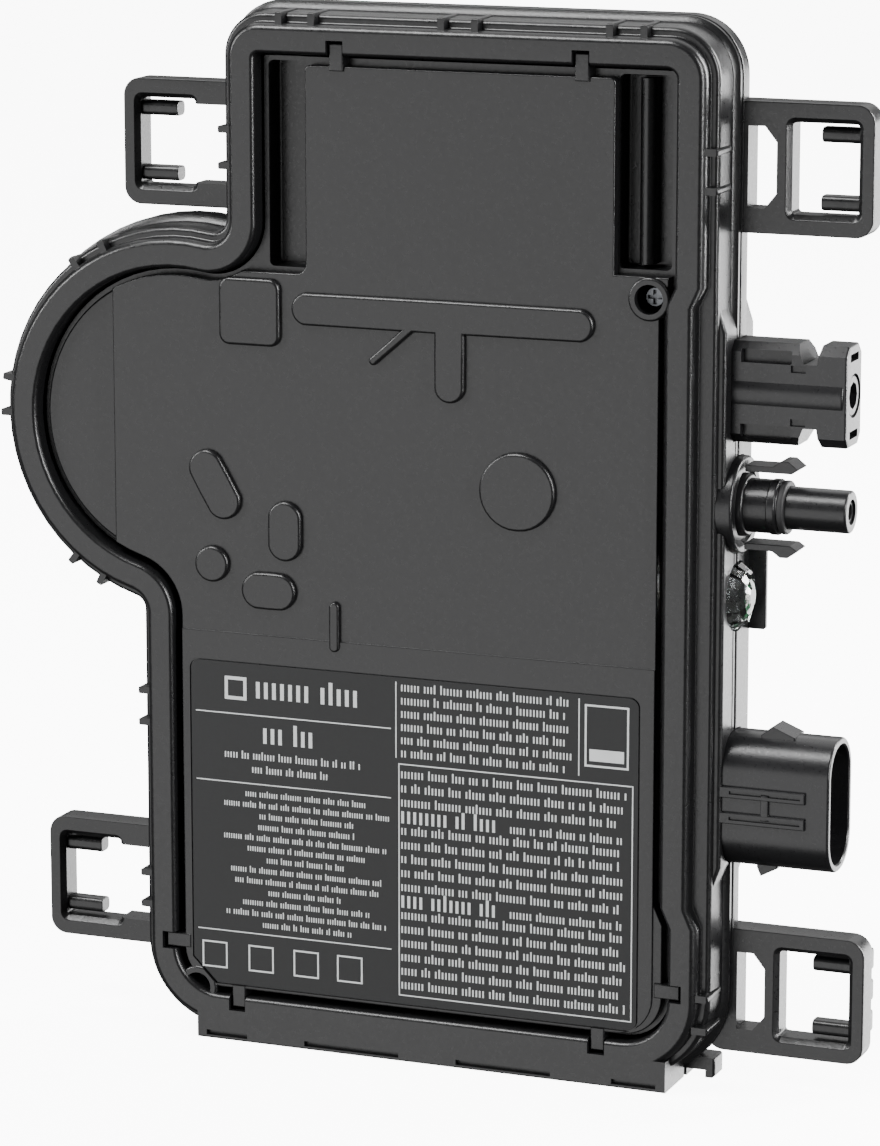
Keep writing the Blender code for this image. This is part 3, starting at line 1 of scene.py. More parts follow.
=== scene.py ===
# %% [markdown]
# # A micro inverter, from its frame to its finish
#
# The real object is a flat box of black moulded plastic that hangs behind a solar panel. A front
# frame and a rear tray are snapped and potted together, a cover plate sits inside the frame, four
# loops hold it on a bracket, and the leads plug in on the right.
#
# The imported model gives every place. This script gives each visible piece its fine shape and
# every piece its finish.

import math
import random

import bpy
from mathutils import Matrix, Vector


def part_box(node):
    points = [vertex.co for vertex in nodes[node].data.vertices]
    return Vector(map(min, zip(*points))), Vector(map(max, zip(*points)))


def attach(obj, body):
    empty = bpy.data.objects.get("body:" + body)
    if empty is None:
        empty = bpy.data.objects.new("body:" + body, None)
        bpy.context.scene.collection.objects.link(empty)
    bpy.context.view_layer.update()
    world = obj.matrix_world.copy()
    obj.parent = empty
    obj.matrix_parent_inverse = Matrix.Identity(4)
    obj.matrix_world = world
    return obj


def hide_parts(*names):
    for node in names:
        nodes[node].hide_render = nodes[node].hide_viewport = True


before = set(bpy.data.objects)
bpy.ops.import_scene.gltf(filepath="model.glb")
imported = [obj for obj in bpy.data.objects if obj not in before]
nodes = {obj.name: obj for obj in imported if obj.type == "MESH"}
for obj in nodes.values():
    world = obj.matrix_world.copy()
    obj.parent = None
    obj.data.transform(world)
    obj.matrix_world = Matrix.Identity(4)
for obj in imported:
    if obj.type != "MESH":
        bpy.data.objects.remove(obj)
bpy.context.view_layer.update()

# %% [markdown]
# ## Where everything is
#
# The drawing of such a housing is dimensioned in millimetres from its own edges: X from the
# middle of the band, Y back from the front face, Z up from the foot. One function turns those
# into the scene's metres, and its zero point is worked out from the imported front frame.

# %% Units and zero point
MM = 0.001
X, Y, Z = 0, 1, 2
BODY_RIGHT = 58.3  # outer edge of the band on the connector side
SKIRT_OUT = 3.4  # the frame's skirt stands this far outside the band
frame_low, frame_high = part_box("front_frame")
ZERO = Vector((frame_high.x - (BODY_RIGHT + SKIRT_OUT) * MM, frame_low.y, frame_low.z))


def place(x, y, z):
    return ZERO + Vector((x, y, z)) * MM


def measured(point):
    return (point - ZERO) / MM


print("zero point:", [round(v / MM, 2) for v in ZERO])

# %% [markdown]
# ## Working by hand, in code
#
# Each operator acts on what is selected, so the first helpers select one object, or only the
# wanted faces, edges or points of one, found by where they lie. Primitives are then added at their
# size, and each gets its place applied, so that its origin stays at the world's origin.

# %% Selecting
ELEMENTS = {"VERT": (True, False, False), "EDGE": (False, True, False), "FACE": (False, False, True)}


def focus(obj):
    bpy.ops.object.select_all(action="DESELECT")
    obj.select_set(True)
    bpy.context.view_layer.objects.active = obj


def pick(obj, kind, wanted):
    """Opens the mesh for editing with only the wanted elements selected."""
    focus(obj)
    mesh = obj.data
    for items in (mesh.vertices, mesh.edges, mesh.polygons):
        items.foreach_set("select", [False] * len(items))
    spots = [measured(v.co) for v in mesh.vertices]
    if kind == "FACE":
        for face in mesh.polygons:
            face.select = wanted(measured(face.center), face.normal)
    elif kind == "EDGE":
        for edge in mesh.edges:
            edge.select = wanted(*(spots[i] for i in edge.vertices))
    else:
        for vertex, spot in zip(mesh.vertices, spots):
            vertex.select = wanted(spot)
    bpy.context.tool_settings.mesh_select_mode = ELEMENTS[kind]
    bpy.ops.object.mode_set(mode="EDIT")


def done():
    bpy.ops.object.mode_set(mode="OBJECT")


# %% Primitives and joining
def settle(name):
    """Names the new primitive and moves its place into its mesh."""
    obj = bpy.context.object
    obj.name = name
    bpy.ops.object.transform_apply(location=True, rotation=True, scale=True)
    return obj


def block(name, x, y, z):
    """A block between pairs of limits, in millimetres."""
    size = [abs(b - a) * MM for a, b in (x, y, z)]
    middle = place(*(sum(pair) / 2 for pair in (x, y, z)))
    bpy.ops.object.select_all(action="DESELECT")
    bpy.ops.mesh.primitive_cube_add(size=1, location=middle, scale=size)
    return settle(name)


TURNS = {"X": (0, math.pi / 2, 0), "Y": (-math.pi / 2, 0, 0), "Z": (0, 0, 0)}


def rod(name, axis, centre, radius, length, sides=48):
    """A round bar about its centre, along one of the three axes."""
    bpy.ops.object.select_all(action="DESELECT")
    bpy.ops.mesh.primitive_cylinder_add(
        vertices=sides, radius=radius * MM, depth=length * MM, location=place(*centre), rotation=TURNS[axis]
    )
    return settle(name)


def combine(obj, other, operation="UNION"):
    """Joins, cuts or trims one closed solid with another, which is used up."""
    modifier = obj.modifiers.new(operation, "BOOLEAN")
    modifier.operation = operation
    modifier.solver = "MANIFOLD"
    modifier.object = other
    focus(obj)
    bpy.ops.object.modifier_apply(modifier=modifier.name)
    bpy.data.objects.remove(other, do_unlink=True)
    return obj


def cut(obj, other):
    return combine(obj, other, "DIFFERENCE")


def tidy_flats(obj):
    """Merges doubles and turns each flat area back into one face."""
    pick(obj, "FACE", lambda spot, normal: True)
    bpy.ops.mesh.remove_doubles(threshold=0.004 * MM)
    bpy.ops.mesh.dissolve_limited(angle_limit=math.radians(0.4))
    done()
    return obj


def bevel(obj, wanted, width, segments=3):
    """Rounds the wanted edges."""
    pick(obj, "EDGE", wanted)
    bpy.ops.mesh.bevel(offset=width * MM, segments=segments, affect="EDGES", clamp_overlap=True)
    done()
    return obj


def near(value, target, slack=0.02):
    return abs(value - target) < slack


def around(middle, half):
    return (middle - half, middle + half)


def on_plane(axis, value):
    """A test for edges that lie wholly on a plane across X, Y or Z."""
    return lambda a, b: near(a[axis], value) and near(b[axis], value)


def along(axis):
    """A test for edges that run along X, Y or Z."""
    others = [i for i in (X, Y, Z) if i != axis]
    return lambda a, b: all(near(a[i], b[i]) for i in others)


def soften(obj, angle=32):
    """Smooth shading on round stretches, with normals weighted so that large flats stay flat."""
    focus(obj)
    bpy.ops.object.shade_smooth_by_angle(angle=math.radians(angle))
    weighted = obj.modifiers.new("weighted", "WEIGHTED_NORMAL")
    weighted.keep_sharp = True
    weighted.weight = 100
    bpy.ops.object.modifier_apply(modifier="weighted")
    return obj


# %% [markdown]
# ## The housing's outline
#
# Seen from the front the housing is a tall box, narrower at the top, with a round bulge on the
# left that holds the largest coil. Frame, cover and tray all follow this one outline at different
# sizes. It is drawn as on paper: a single point is extruded along each straight side and spun
# round each corner, and the closed line is filled and extruded to a depth. Growing the outline by
# an amount moves every side out by that much, so the corners' centres stay where they are.

# %% Drawing an outline
STEP_DEGREES = 3.0  # fineness of the large round stretches
LEAST_STEPS = 6


def draw_outline(name, y, start, path):
    """Draws a closed line of straight runs (x, z) and turns (centre x, centre z, degrees), and fills it."""
    bpy.ops.object.select_all(action="DESELECT")
    bpy.ops.mesh.primitive_plane_add(size=MM, location=place(start[0], y[0], start[1]))
    obj = settle(name)
    bpy.context.tool_settings.mesh_select_mode = ELEMENTS["VERT"]
    bpy.ops.object.mode_set(mode="EDIT")
    bpy.ops.mesh.select_all(action="SELECT")
    bpy.ops.mesh.merge(type="CENTER")
    spot = Vector(start)
    for move in path:
        if len(move) == 2:
            step = Vector(move) - spot
            shift = {"value": (step.x * MM, 0, step.y * MM)}
            bpy.ops.mesh.extrude_vertices_move(TRANSFORM_OT_translate=shift)
            spot = Vector(move)
        else:
            centre, degrees = Vector(move[:2]), move[2]
            steps = max(LEAST_STEPS, round(abs(degrees) / STEP_DEGREES / 2))
            middle = place(centre.x, y[0], centre.y)
            bpy.ops.mesh.spin(steps=steps, angle=math.radians(degrees), center=middle, axis=(0, 1, 0))
            spot = centre + Matrix.Rotation(math.radians(degrees), 2) @ (spot - centre)
    bpy.ops.mesh.select_all(action="SELECT")
    bpy.ops.mesh.remove_doubles(threshold=0.01 * MM)
    bpy.ops.mesh.edge_face_add()
    bpy.ops.mesh.extrude_region_move(TRANSFORM_OT_translate={"value": (0, (y[1] - y[0]) * MM, 0)})
    bpy.ops.mesh.select_all(action="SELECT")
    bpy.ops.mesh.normals_make_consistent(inside=False)
    bpy.ops.object.mode_set(mode="OBJECT")
    return obj


def rounded_plate(name, x, z, y, radius):
    """A plate with four round corners."""
    (left, right), (low, high), r = x, z, radius
    path = [
        (left + r, low + r, 90), (right - r, low), (right - r, low + r, 90), (right, high - r),
        (right - r, high - r, 90), (left + r, high), (left + r, high - r, 90), (left, low + r),
    ]
    return draw_outline(name, y, (left, low + r), path)


# %% Outline sizes
FOOT = 3.6  # lower edge of the band
TOP = 208.4  # upper edge of the band
LEFT_UPPER = -40.8
LEFT_LOWER = -59.7
BULGE = Vector((-52.8, 128.2))
BULGE_RADIUS = 36.9
HOLLOW_RADIUS = 4.6
TOP_LEFT_RADIUS = 6.8
TOP_RIGHT_RADIUS = 7.8
FOOT_RADIUS = 15.5
LEAST_RADIUS = 0.5
WAIST = (34.0, 38.0, 157.0, 161.0)  # where the side steps in beside the connectors
WAIST_IN = 1.8


def hollow_round(side_x, grow, upper):
    """Centre of the hollow round between a straight side and the bulge, and its angle from the bulge."""
    radius = HOLLOW_RADIUS - grow
    reach = BULGE_RADIUS + grow + radius
    centre_x = side_x - radius
    rise = math.sqrt(reach**2 - (centre_x - BULGE.x) ** 2)
    centre = Vector((centre_x, BULGE.y + (rise if upper else -rise)))
    angle = math.degrees(math.atan2(centre.y - BULGE.y, centre.x - BULGE.x))
    return centre, angle % 360


def body_block(name, grow, y, waist=False):
    """The housing's outline as a solid between two depths."""
    foot, top, right = FOOT - grow, TOP + grow, BODY_RIGHT + grow
    left_lower, left_upper = LEFT_LOWER - grow, LEFT_UPPER - grow
    foot_r, left_r, right_r = (
        max(r + grow, LEAST_RADIUS) for r in (FOOT_RADIUS, TOP_LEFT_RADIUS, TOP_RIGHT_RADIUS)
    )
    (upper, upper_angle), (lower, lower_angle) = (
        hollow_round(left_upper, grow, True), hollow_round(left_lower, grow, False)
    )
    pinch = WAIST_IN if waist else 0.0
    path = [
        (left_lower + foot_r, foot + foot_r, 90),
        (right - foot_r, foot),
        (right - foot_r, foot + foot_r, 90),
        (right, WAIST[0]),
        (right - pinch, WAIST[1]),
        (right - pinch, WAIST[2]),
        (right, WAIST[3]),
        (right, top - right_r),
        (right - right_r, top - right_r, 90),
        (left_upper + left_r, top),
        (left_upper + left_r, top - left_r, 90),
        (left_upper, upper.y),
        (*upper, upper_angle - 180),
        (*BULGE, lower_angle - upper_angle),
        (*lower, 180 - lower_angle),
    ]
    return draw_outline(name, y, (left_lower, foot + foot_r), path)


# %% [markdown]
# ## Front frame
#
# The frame's section runs from a thin skirt at the back up the side wall, over a narrow ledge, and
# round the flat front band into the recess that holds the cover. Insets with a depth draw such a
# section in one go: each one steps the front face in and forwards. The face that is left is then
# deleted, and a Solidify modifier gives the strip the wall thickness of the moulding.

# %% Frame section
BAND_IN = 5.9  # from the band's outer edge to the recess
LEDGE_Y = 3.2
FRAME_BACK = 12.0
FRAME_EDGE_Y = 11.1  # the section starts here, just before the back edge
SEAT_Y = 6.0
FRAME_WALL = 1.7


def quarter_round(width, height, steps, rising):
    """Inset steps that round an edge: over it when rising, or down into the recess."""
    marks = [math.pi / 2 * i / steps for i in range(steps + 1)]
    if rising:
        curve = [(width * (1 - math.cos(a)), height * math.sin(a)) for a in marks]
    else:
        curve = [(width * math.sin(a), -height * (1 - math.cos(a))) for a in marks]
    return [(b[0] - a[0], b[1] - a[1]) for a, b in zip(curve, curve[1:])]


def step_in(moves):
    """Insets the selected face by (inwards, forwards) steps, in millimetres."""
    for inwards, forwards in moves:
        bpy.ops.mesh.inset(thickness=inwards * MM, depth=forwards * MM, use_even_offset=True)


def front_facing(y):
    return lambda spot, normal: near(spot.y, y) and normal.y < -0.9


FRAME_MOVES = [(0.7, 0.3), (0.5, 0.5), (0.12, 1.0), (0.2, 4.9)]
FRAME_MOVES += quarter_round(0.9, 1.2, 4, True)  # rounded edge of the ledge
FRAME_MOVES += [(0.75, 0.0), (0.13, 0.1), (0.1, 1.2)]
FRAME_MOVES += quarter_round(1.4, 1.9, 6, True)  # band's outer edge
FRAME_MOVES += [(BAND_IN + SKIRT_OUT - 4.8 - 1.0, 0.0)]
FRAME_MOVES += quarter_round(1.0, 1.2, 5, False)  # band's inner edge
FRAME_MOVES += [(0.01, -(SEAT_Y - 1.2))]


def make_front_frame():
    shell = body_block("front_frame_shell", SKIRT_OUT, (FRAME_EDGE_Y, FRAME_BACK))
    pick(shell, "FACE", front_facing(FRAME_EDGE_Y))
    step_in(FRAME_MOVES)
    bpy.ops.mesh.delete(type="FACE")
    done()
    pick(shell, "FACE", lambda spot, normal: near(spot.y, FRAME_BACK) and normal.y > 0.9)
    bpy.ops.mesh.delete(type="FACE")
    done()
    on_right_band = lambda p: BODY_RIGHT - 2 * BAND_IN < p.x < BODY_RIGHT + 0.5 and p.y < LEDGE_Y + 0.05
    pick(shell, "VERT", lambda p: on_right_band(p) and WAIST[1] - 1 < p.z < WAIST[2] + 1)
    bpy.ops.transform.translate(value=(-WAIST_IN * MM, 0, 0))
    done()
    wall = shell.modifiers.new("wall", "SOLIDIFY")
    wall.thickness = FRAME_WALL * MM
    wall.offset = -1
    wall.use_even_offset = True
    focus(shell)
    bpy.ops.object.modifier_apply(modifier="wall")
    return shell


front_frame = make_front_frame()
print("front frame:", len(front_frame.data.polygons), "faces")

# %% [markdown]
# ### What stands on the frame
#
# Short ribs cross the ledge in pairs and stiffen the side wall. The wall that carries the leads'
# sockets is a thick block on the right, and the foot is squared off by a skirt with four long
# slots. All are plain blocks with softened edges, joined to the frame by a union so that no edge
# is left hidden inside. The clips of the cover need pockets in the band, cut the same way.

# %% Ribs, connector wall, skirt and pockets
RIB_WIDTH = 1.4
RIB_Y = (0.9, 9.4)
RIB_IN, RIB_OUT = 1.0, 2.4
TOP_RIBS = (-29.9, -23.0, 4.2, 11.2, 38.7, 45.6)
RIGHT_RIBS = (187.0, 179.6, 20.0, 13.4)
LEFT_RIBS = ((LEFT_UPPER, 187.2), (LEFT_UPPER, 180.0), (LEFT_LOWER, 72.0), (LEFT_LOWER, 65.4),
             (LEFT_LOWER, 33.6), (LEFT_LOWER, 27.0))
BULGE_RIBS = (115, 126, 170, 181, 232, 243)
WALL_X = 61.6
WALL_Z = (46.0, 152.0)
WALL_FAIRING = 10.5
WALL_FRONT = 4.6
WALL_BACK = 22.0
SKIRT_X = (-49.1, 52.3)
SKIRT_TOP = 6.5
SKIRT_FRONT = 0.02  # a hair behind the band's face
SLOT_Z = (0.75, 1.85)
SLOT_DEPTH = 1.1
SKIRT_SLOTS = ((-47.1, -38.0), (-25.3, -4.6), (7.8, 28.1), (41.0, 50.3))
CLIP_HALF = 1.5
CLIP_SPAN = (8.9, 3.5)  # inner and outer end of a clip, measured in from the band's outer edge
POCKET_SPAN = (8.6, 3.2)
POCKET_GAP = 0.3
CLIPS = (("top", -17.7), ("top", 33.2), ("foot", -40.2), ("foot", 37.7), ("left", 20.0), ("right", 20.7))


def turn_about_y(obj, degrees, x, z):
    """Turns a solid about an axis that runs front to back, anticlockwise from the front."""
    centre = place(x, 0, z)
    turn = Matrix.Rotation(math.radians(-degrees), 4, "Y")
    obj.data.transform(Matrix.Translation(centre) @ turn @ Matrix.Translation(-centre))
    return obj


def ledge_rib(x, z, degrees):
    """A rib that points outwards from the band at the given angle."""
    rib = block("ledge_rib", (x - RIB_IN, x + RIB_OUT), RIB_Y, (z - RIB_WIDTH / 2, z + RIB_WIDTH / 2))
    bevel(rib, on_plane(X, x + RIB_OUT), 0.45, 3)
    return turn_about_y(rib, degrees, x, z)


def connector_wall(y, rounded_y):
    """Half of the thick wall that the leads' sockets pass through, with one rounded outer edge."""
    (low, high), inner, fairing_x = WALL_Z, BODY_RIGHT - 4.3, WALL_X - 3.4
    start = (inner, low - WALL_FAIRING)
    path = [(fairing_x, start[1]), (WALL_X, low), (WALL_X, high), (fairing_x, high + WALL_FAIRING)]
    wall = draw_outline("connector_wall", y, start, [*path, (inner, high + WALL_FAIRING), start])
    return bevel(wall, lambda a, b: on_plane(Y, rounded_y)(a, b) and min(a.x, b.x) > inner + 1, 0.8, 3)


def clip_place(side, spot, inner, outer):
    """X and Z limits of a clip: it reaches from inside the recess to over the band."""
    across = (spot - CLIP_HALF, spot + CLIP_HALF)
    return {
        "top": (across, (TOP - inner, TOP - outer)),
        "foot": (across, (FOOT + outer, FOOT + inner)),
        "left": ((LEFT_LOWER + outer, LEFT_LOWER + inner), across),
        "right": ((BODY_RIGHT - inner, BODY_RIGHT - outer), across),
    }[side]


def furnish_frame(shell):
    for x in TOP_RIBS:
        combine(shell, ledge_rib(x, TOP, 90))
    for z in RIGHT_RIBS:
        combine(shell, ledge_rib(BODY_RIGHT, z, 0))
    for x, z in LEFT_RIBS:
        combine(shell, ledge_rib(x, z, 180))
    for degrees in BULGE_RIBS:
        spot = BULGE + Matrix.Rotation(math.radians(degrees), 2) @ Vector((BULGE_RADIUS, 0))
        combine(shell, ledge_rib(spot.x, spot.y, degrees))
    combine(shell, connector_wall((WALL_FRONT, FRAME_BACK), WALL_FRONT))
    skirt = block("skirt", SKIRT_X, (SKIRT_FRONT, FRAME_BACK - 0.2), (0.0, SKIRT_TOP))
    bevel(skirt, lambda a, b: on_plane(Y, SKIRT_FRONT)(a, b) and a.z + b.z < 0.1, 0.5, 2)
    bevel(skirt, lambda a, b: along(Y)(a, b) and a.z < 0.6, 0.4, 2)
    combine(shell, skirt)
    for left, right in SKIRT_SLOTS:
        cut(shell, block("skirt_slot", (left, right), (-1.0, SLOT_DEPTH), SLOT_Z))
    for side, spot in CLIPS:
        x, z = ((a - POCKET_GAP, b + POCKET_GAP) for a, b in clip_place(side, spot, *POCKET_SPAN))
        cut(shell, block("clip_pocket", x, (-1.0, 4.9), z))
    return shell


furnish_frame(front_frame)
print("front frame, furnished:", len(front_frame.data.polygons), "faces")

# %% [markdown]
# ## Cover plate
#
# The cover lies in the frame's recess on a thin ledge. Most of it is one raised panel with a
# rounded edge, which runs up the middle between two deep pans; the bulge and the label's field
# have levels of their own. The raised forms are stretched drums: half of each drum's points are
# moved along, and the front edge is rounded.

# %% Cover sizes
PLATE_Y = (3.9, 5.7)
PANEL_Y = 1.5
PANEL_GROW = -7.35
COVER_GROW = -6.55
BULGE_Y = 3.0
BULGE_BACK = 4.5
LABEL_FIELD_Y = 1.15
LABEL_FIELD_FOOT = 10.95
FILM_CORNER_Z = 12.0  # the field's two lower corners lie below this
PANEL_LEFT = -66.9
TOP_PANEL_X = (-24.6, 39.8)
TOP_PANEL_TOP = 200.4
PAN_FOOT = (159.2, 162.6)  # lower end of the left and right pans' ledges
STEP_Z = 85.7
PAD_Y = 0.3
PAN_FLOOR = 8.7
# Middle X, middle Z, length, width, degrees
RAISED_FORMS = (
    (4.3, 152.4, 63.4, 6.6, 0),
    (6.1, 144.8, 18.6, 6.4, 90),
    (-5.4, 147.0, 14.0, 1.9, 41),
    (20.3, 118.8, 15.9, 15.6, 0),
    (-44.4, 115.8, 15.0, 7.6, -60),
    (-29.2, 107.3, 12.2, 7.3, 90),
    (-45.2, 99.5, 7.5, 7.4, 0),
    (-32.8, 94.8, 11.8, 7.6, 0),
)
RIDGE = (-18.6, 88.6, 10.2, 2.2, 90)
SQUARE_PAD = ((-43.1, -29.9), (144.4, 158.0))
SCREWS = ((47.1, 158.3), (-49.4, 10.6))


def pill(name, x, z, length, width, degrees, y, sides=32):
    """A drum across its middle, stretched along X, then turned."""
    drum = rod(name, "Y", (x, sum(y) / 2, z), width / 2, abs(y[1] - y[0]), sides)
    stretch = (length - width) / 2
    if stretch > 0.05:
        for sign in (-1, 1):
            pick(drum, "VERT", lambda p: (p.x - x) * sign > 0.001 * width)
            bpy.ops.transform.translate(value=(sign * stretch * MM, 0, 0))
            done()
    return turn_about_y(drum, degrees, x, z)


def round_front(obj, y, width, segments=3):
    return bevel(obj, on_plane(Y, y), width, segments)


def main_panel():
    """The raised panel: the housing's outline, trimmed at the left and beside the pans."""
    y = (PANEL_Y, PLATE_Y[0] + 0.6)
    keep_y = (y[0] - 1, y[1] + 1)
    panel = body_block("main_panel", PANEL_GROW, y, waist=True)
    keep = block("keep", (PANEL_LEFT, 70.0), keep_y, (0.0, PAN_FOOT[0]))
    combine(keep, block("keep_top", TOP_PANEL_X, keep_y, (150.0, TOP_PANEL_TOP)))
    combine(keep, block("keep_right", (TOP_PANEL_X[1] - 1, 70.0), keep_y, (150.0, PAN_FOOT[1])))
    combine(panel, keep, "INTERSECT")
    tidy_flats(panel)
    hollow = lambda a, b: along(Y)(a, b) and near(a.z, PAN_FOOT[0]) and near(a.x, TOP_PANEL_X[0])
    bevel(panel, hollow, 2.2, 5)
    corners = lambda a, b: along(Y)(a, b) and near(a.z, TOP_PANEL_TOP) and a.x < 45
    bevel(panel, corners, 1.0, 4)
    return round_front(panel, PANEL_Y, 0.75, 4)


def pan_shell(x, z):
    """A deep pan beside the top panel: the front face is inset by the wall and pushed back."""
    wall = 0.9
    y = (PLATE_Y[0] + 0.2, PAN_FLOOR + wall)
    pan = block("pan", (x[0] - wall, x[1] + wall), y, (z[0] - wall, z[1] + wall))
    bevel(pan, along(Y), 2.0, 4)
    pick(pan, "FACE", front_facing(y[0]))
    step_in([(wall, 0.0), (0.1, -(PAN_FLOOR - y[0] - 0.6)), (0.2, -0.4), (0.4, -0.2)])
    done()
    return pan


def pan_hole(x, z):
    hole = block("pan_hole", x, (-2.0, PAN_FLOOR - 0.5), z)
    return bevel(hole, along(Y), 1.0, 4)


PANS = (((-33.3, -24.7), (160.2, 201.0)), ((39.9, 50.7), (163.6, 201.0)))
PAN_RIB = (45.0, 1.6, (164.4, 200.2))  # middle X, radius, Z limits
PAN_RIB_RISE = 2.4  # from the pan's floor to the middle of the rib's round crest
SCREW_BOSS = (4.3, (0.8, 6.4))  # radius, Y limits
SCREW_POCKET = (2.9, (-1.25, 6.65))
CLIP_Y = (0.9, 4.4)


def make_cover():
    plate = body_block("cover_plate_shell", COVER_GROW, PLATE_Y, waist=True)
    bulge_spot = (BULGE.x, (BULGE_Y + BULGE_BACK) / 2, BULGE.y)
    bulge = rod("bulge_panel", "Y", bulge_spot, BULGE_RADIUS - 7.5, BULGE_BACK - BULGE_Y, 160)
    combine(plate, round_front(bulge, BULGE_Y, 0.5))
    combine(plate, main_panel())
    field_x = (LEFT_LOWER + 7.45, BODY_RIGHT - 9.25)
    field_z = (LABEL_FIELD_FOOT, STEP_Z)
    field = block("label_field", field_x, (LABEL_FIELD_Y, PANEL_Y + 0.8), field_z)
    bevel(field, lambda a, b: along(Y)(a, b) and a.z < FILM_CORNER_Z, 8.0, 8)
    combine(plate, round_front(field, LABEL_FIELD_Y, 0.3, 2))
    for x, z in PANS:
        cut(plate, pan_hole(x, z))
        combine(plate, pan_shell(x, z))
    rib_x, rib_radius, rib_z = PAN_RIB
    rib_y = PAN_FLOOR - PAN_RIB_RISE
    rib = rod("pan_rib", "Z", (rib_x, rib_y, sum(rib_z) / 2), rib_radius, rib_z[1] - rib_z[0], 24)
    combine(rib, block("rib_foot", around(rib_x, rib_radius), (rib_y, PAN_FLOOR + 0.5), rib_z))
    combine(plate, rib)
    for form in RAISED_FORMS:
        raised = pill("raised_form", *form, (PAD_Y, PANEL_Y + 1.0))
        combine(plate, round_front(raised, PAD_Y, 0.7, 4))
    ridge = pill("ridge", *RIDGE, (PAD_Y + 0.2, PANEL_Y + 1.0))
    combine(plate, round_front(ridge, PAD_Y + 0.2, 0.5))
    pad = block("square_pad", SQUARE_PAD[0], (PAD_Y, PANEL_Y + 1.0), SQUARE_PAD[1])
    bevel(pad, along(Y), 2.2, 6)
    combine(plate, round_front(pad, PAD_Y, 0.8, 4))
    for x, z in SCREWS:
        radius, (front, back) = SCREW_BOSS
        boss = rod("screw_boss", "Y", (x, (front + back) / 2, z), radius, back - front, 48)
        combine(plate, round_front(boss, front, 0.6))
        radius, (front, back) = SCREW_POCKET
        cut(plate, rod("screw_pocket", "Y", (x, (front + back) / 2, z), radius, back - front, 40))
    for side, spot in CLIPS:
        x, z = clip_place(side, spot, *CLIP_SPAN)
        clip = block("clip", x, CLIP_Y, z)
        combine(plate, bevel(clip, on_plane(Y, CLIP_Y[0]), 0.35, 2))
    return plate


cover_plate = make_cover()
print("cover plate:", len(cover_plate.data.polygons), "faces")


# %% [markdown]
# ## Openings for the leads' sockets
#
# The sockets are moulded pieces of their own, held between the frame and the rear housing. Each
# passes through the wall with a hair's gap, so the same cutters trim both halves of the wall.

# %% Socket places and cutters
AXIS_Y = 13.3
FACE_X = 61.9
ROOT_X = 57.3
UPPER_Z, LOWER_Z, LENS_Z, AC_Z = 140.1, 117.3, 99.0, 58.9
HAIR = 0.15
UPPER_HALF = (5.3, 9.9)
DISC_RADIUS = 9.6
LENS_RADIUS = 6.84
AC_HALF = (7.75, 13.4)
AC_ROUND = 7.3


def lying_block(name, x, half_y, half_z, z, edge, segments):
    """A block along X about a socket's axis, with its long edges rounded."""
    bar = block(name, x, around(AXIS_Y, half_y), around(z, half_z))
    return bevel(bar, along(X), edge, segments)


def cut_socket_openings(shell):
    x = (ROOT_X - HAIR, 70.0)
    middle = sum(x) / 2
    cut(shell, lying_block("opening", x, UPPER_HALF[0] + HAIR, UPPER_HALF[1] + HAIR, UPPER_Z, 1.8, 1))
    cut(shell, rod("opening", "X", (middle, AXIS_Y, LOWER_Z), DISC_RADIUS + HAIR, x[1] - x[0], 72))
    cut(shell, rod("opening", "X", (61.0, AXIS_Y, LENS_Z), LENS_RADIUS + HAIR, 20.0, 64))
    half_y, half_z = (h + HAIR for h in AC_HALF)
    cut(shell, lying_block("opening", x, half_y, half_z, AC_Z, AC_ROUND, 12))
    return soften(shell)


cut_socket_openings(front_frame)
print("openings cut in the frame:", len(front_frame.data.polygons), "faces")

# %% [markdown]
# ## Rear housing
#
# The rear housing is a flange and a tray in one moulding. It is the same outline again: insets on
# the back face raise the tray, insets on the front face sink the groove for the seal and the
# hollow for the electronics. Four loops stand on the flange and take the bracket's hooks. A loop is
# a rounded plate, its window is cut by a funnel-shaped plate, and two half-round bars reach into it.

# %% Tray and hollow
FLANGE_GROW = 3.6
FLANGE_Y = (12.5, 16.4)
EDGE = 0.4
HOLLOW_Y = 28.0
BACK_Y = 30.2
TRAY_MOVES = quarter_round(EDGE, EDGE, 2, True)
TRAY_MOVES += [(5.0, 0.0), (0.45, 0.15), (0.15, 0.45)]
TRAY_MOVES += [(0.9, BACK_Y - 2.2 - FLANGE_Y[1] - 0.6)]
TRAY_MOVES += quarter_round(2.2, 2.2, 5, True)
BACK_FIELD = (-10.5, 0.6)  # growth of its outline, depth
HOLLOW_MOVES = quarter_round(EDGE, EDGE, 2, True)
HOLLOW_MOVES += [(1.7, 0.0), (0.0, -1.9), (2.6, 0.0), (0.0, 1.9)]
HOLLOW_MOVES += [(3.8, 0.0), (0.3, -(HOLLOW_Y - FLANGE_Y[0]))]


def make_tray():
    shell = body_block("rear_housing_shell", FLANGE_GROW, (FLANGE_Y[0] + EDGE, FLANGE_Y[1] - EDGE))
    pick(shell, "FACE", lambda spot, normal: normal.y > 0.9)
    step_in(TRAY_MOVES)
    done()
    pick(shell, "FACE", front_facing(FLANGE_Y[0] + EDGE))
    step_in(HOLLOW_MOVES)
    done()
    field_y = (BACK_Y - BACK_FIELD[1], BACK_Y + 1)
    cut(shell, body_block("back_field", BACK_FIELD[0], field_y))
    return shell


rear_housing = make_tray()
print("tray:", len(rear_housing.data.polygons), "faces")

# %% Loops for the bracket
LOOP_Y = (12.9, 18.9)
LOOP_HEIGHT = 25.5
LOOP_RIM = 3.3
LOOP_ROUND = 3.6
FUNNEL = 1.1
SIDE_WINDOW = (0.9, 6.6)  # from the flange's edge
WEB_END = 9.4
BAR_LENGTH = 7.8
GUARD_X = 65.2  # outer edge of the lens guard
HOOK_X = 58.4  # outer edge of the hook at the lower corner
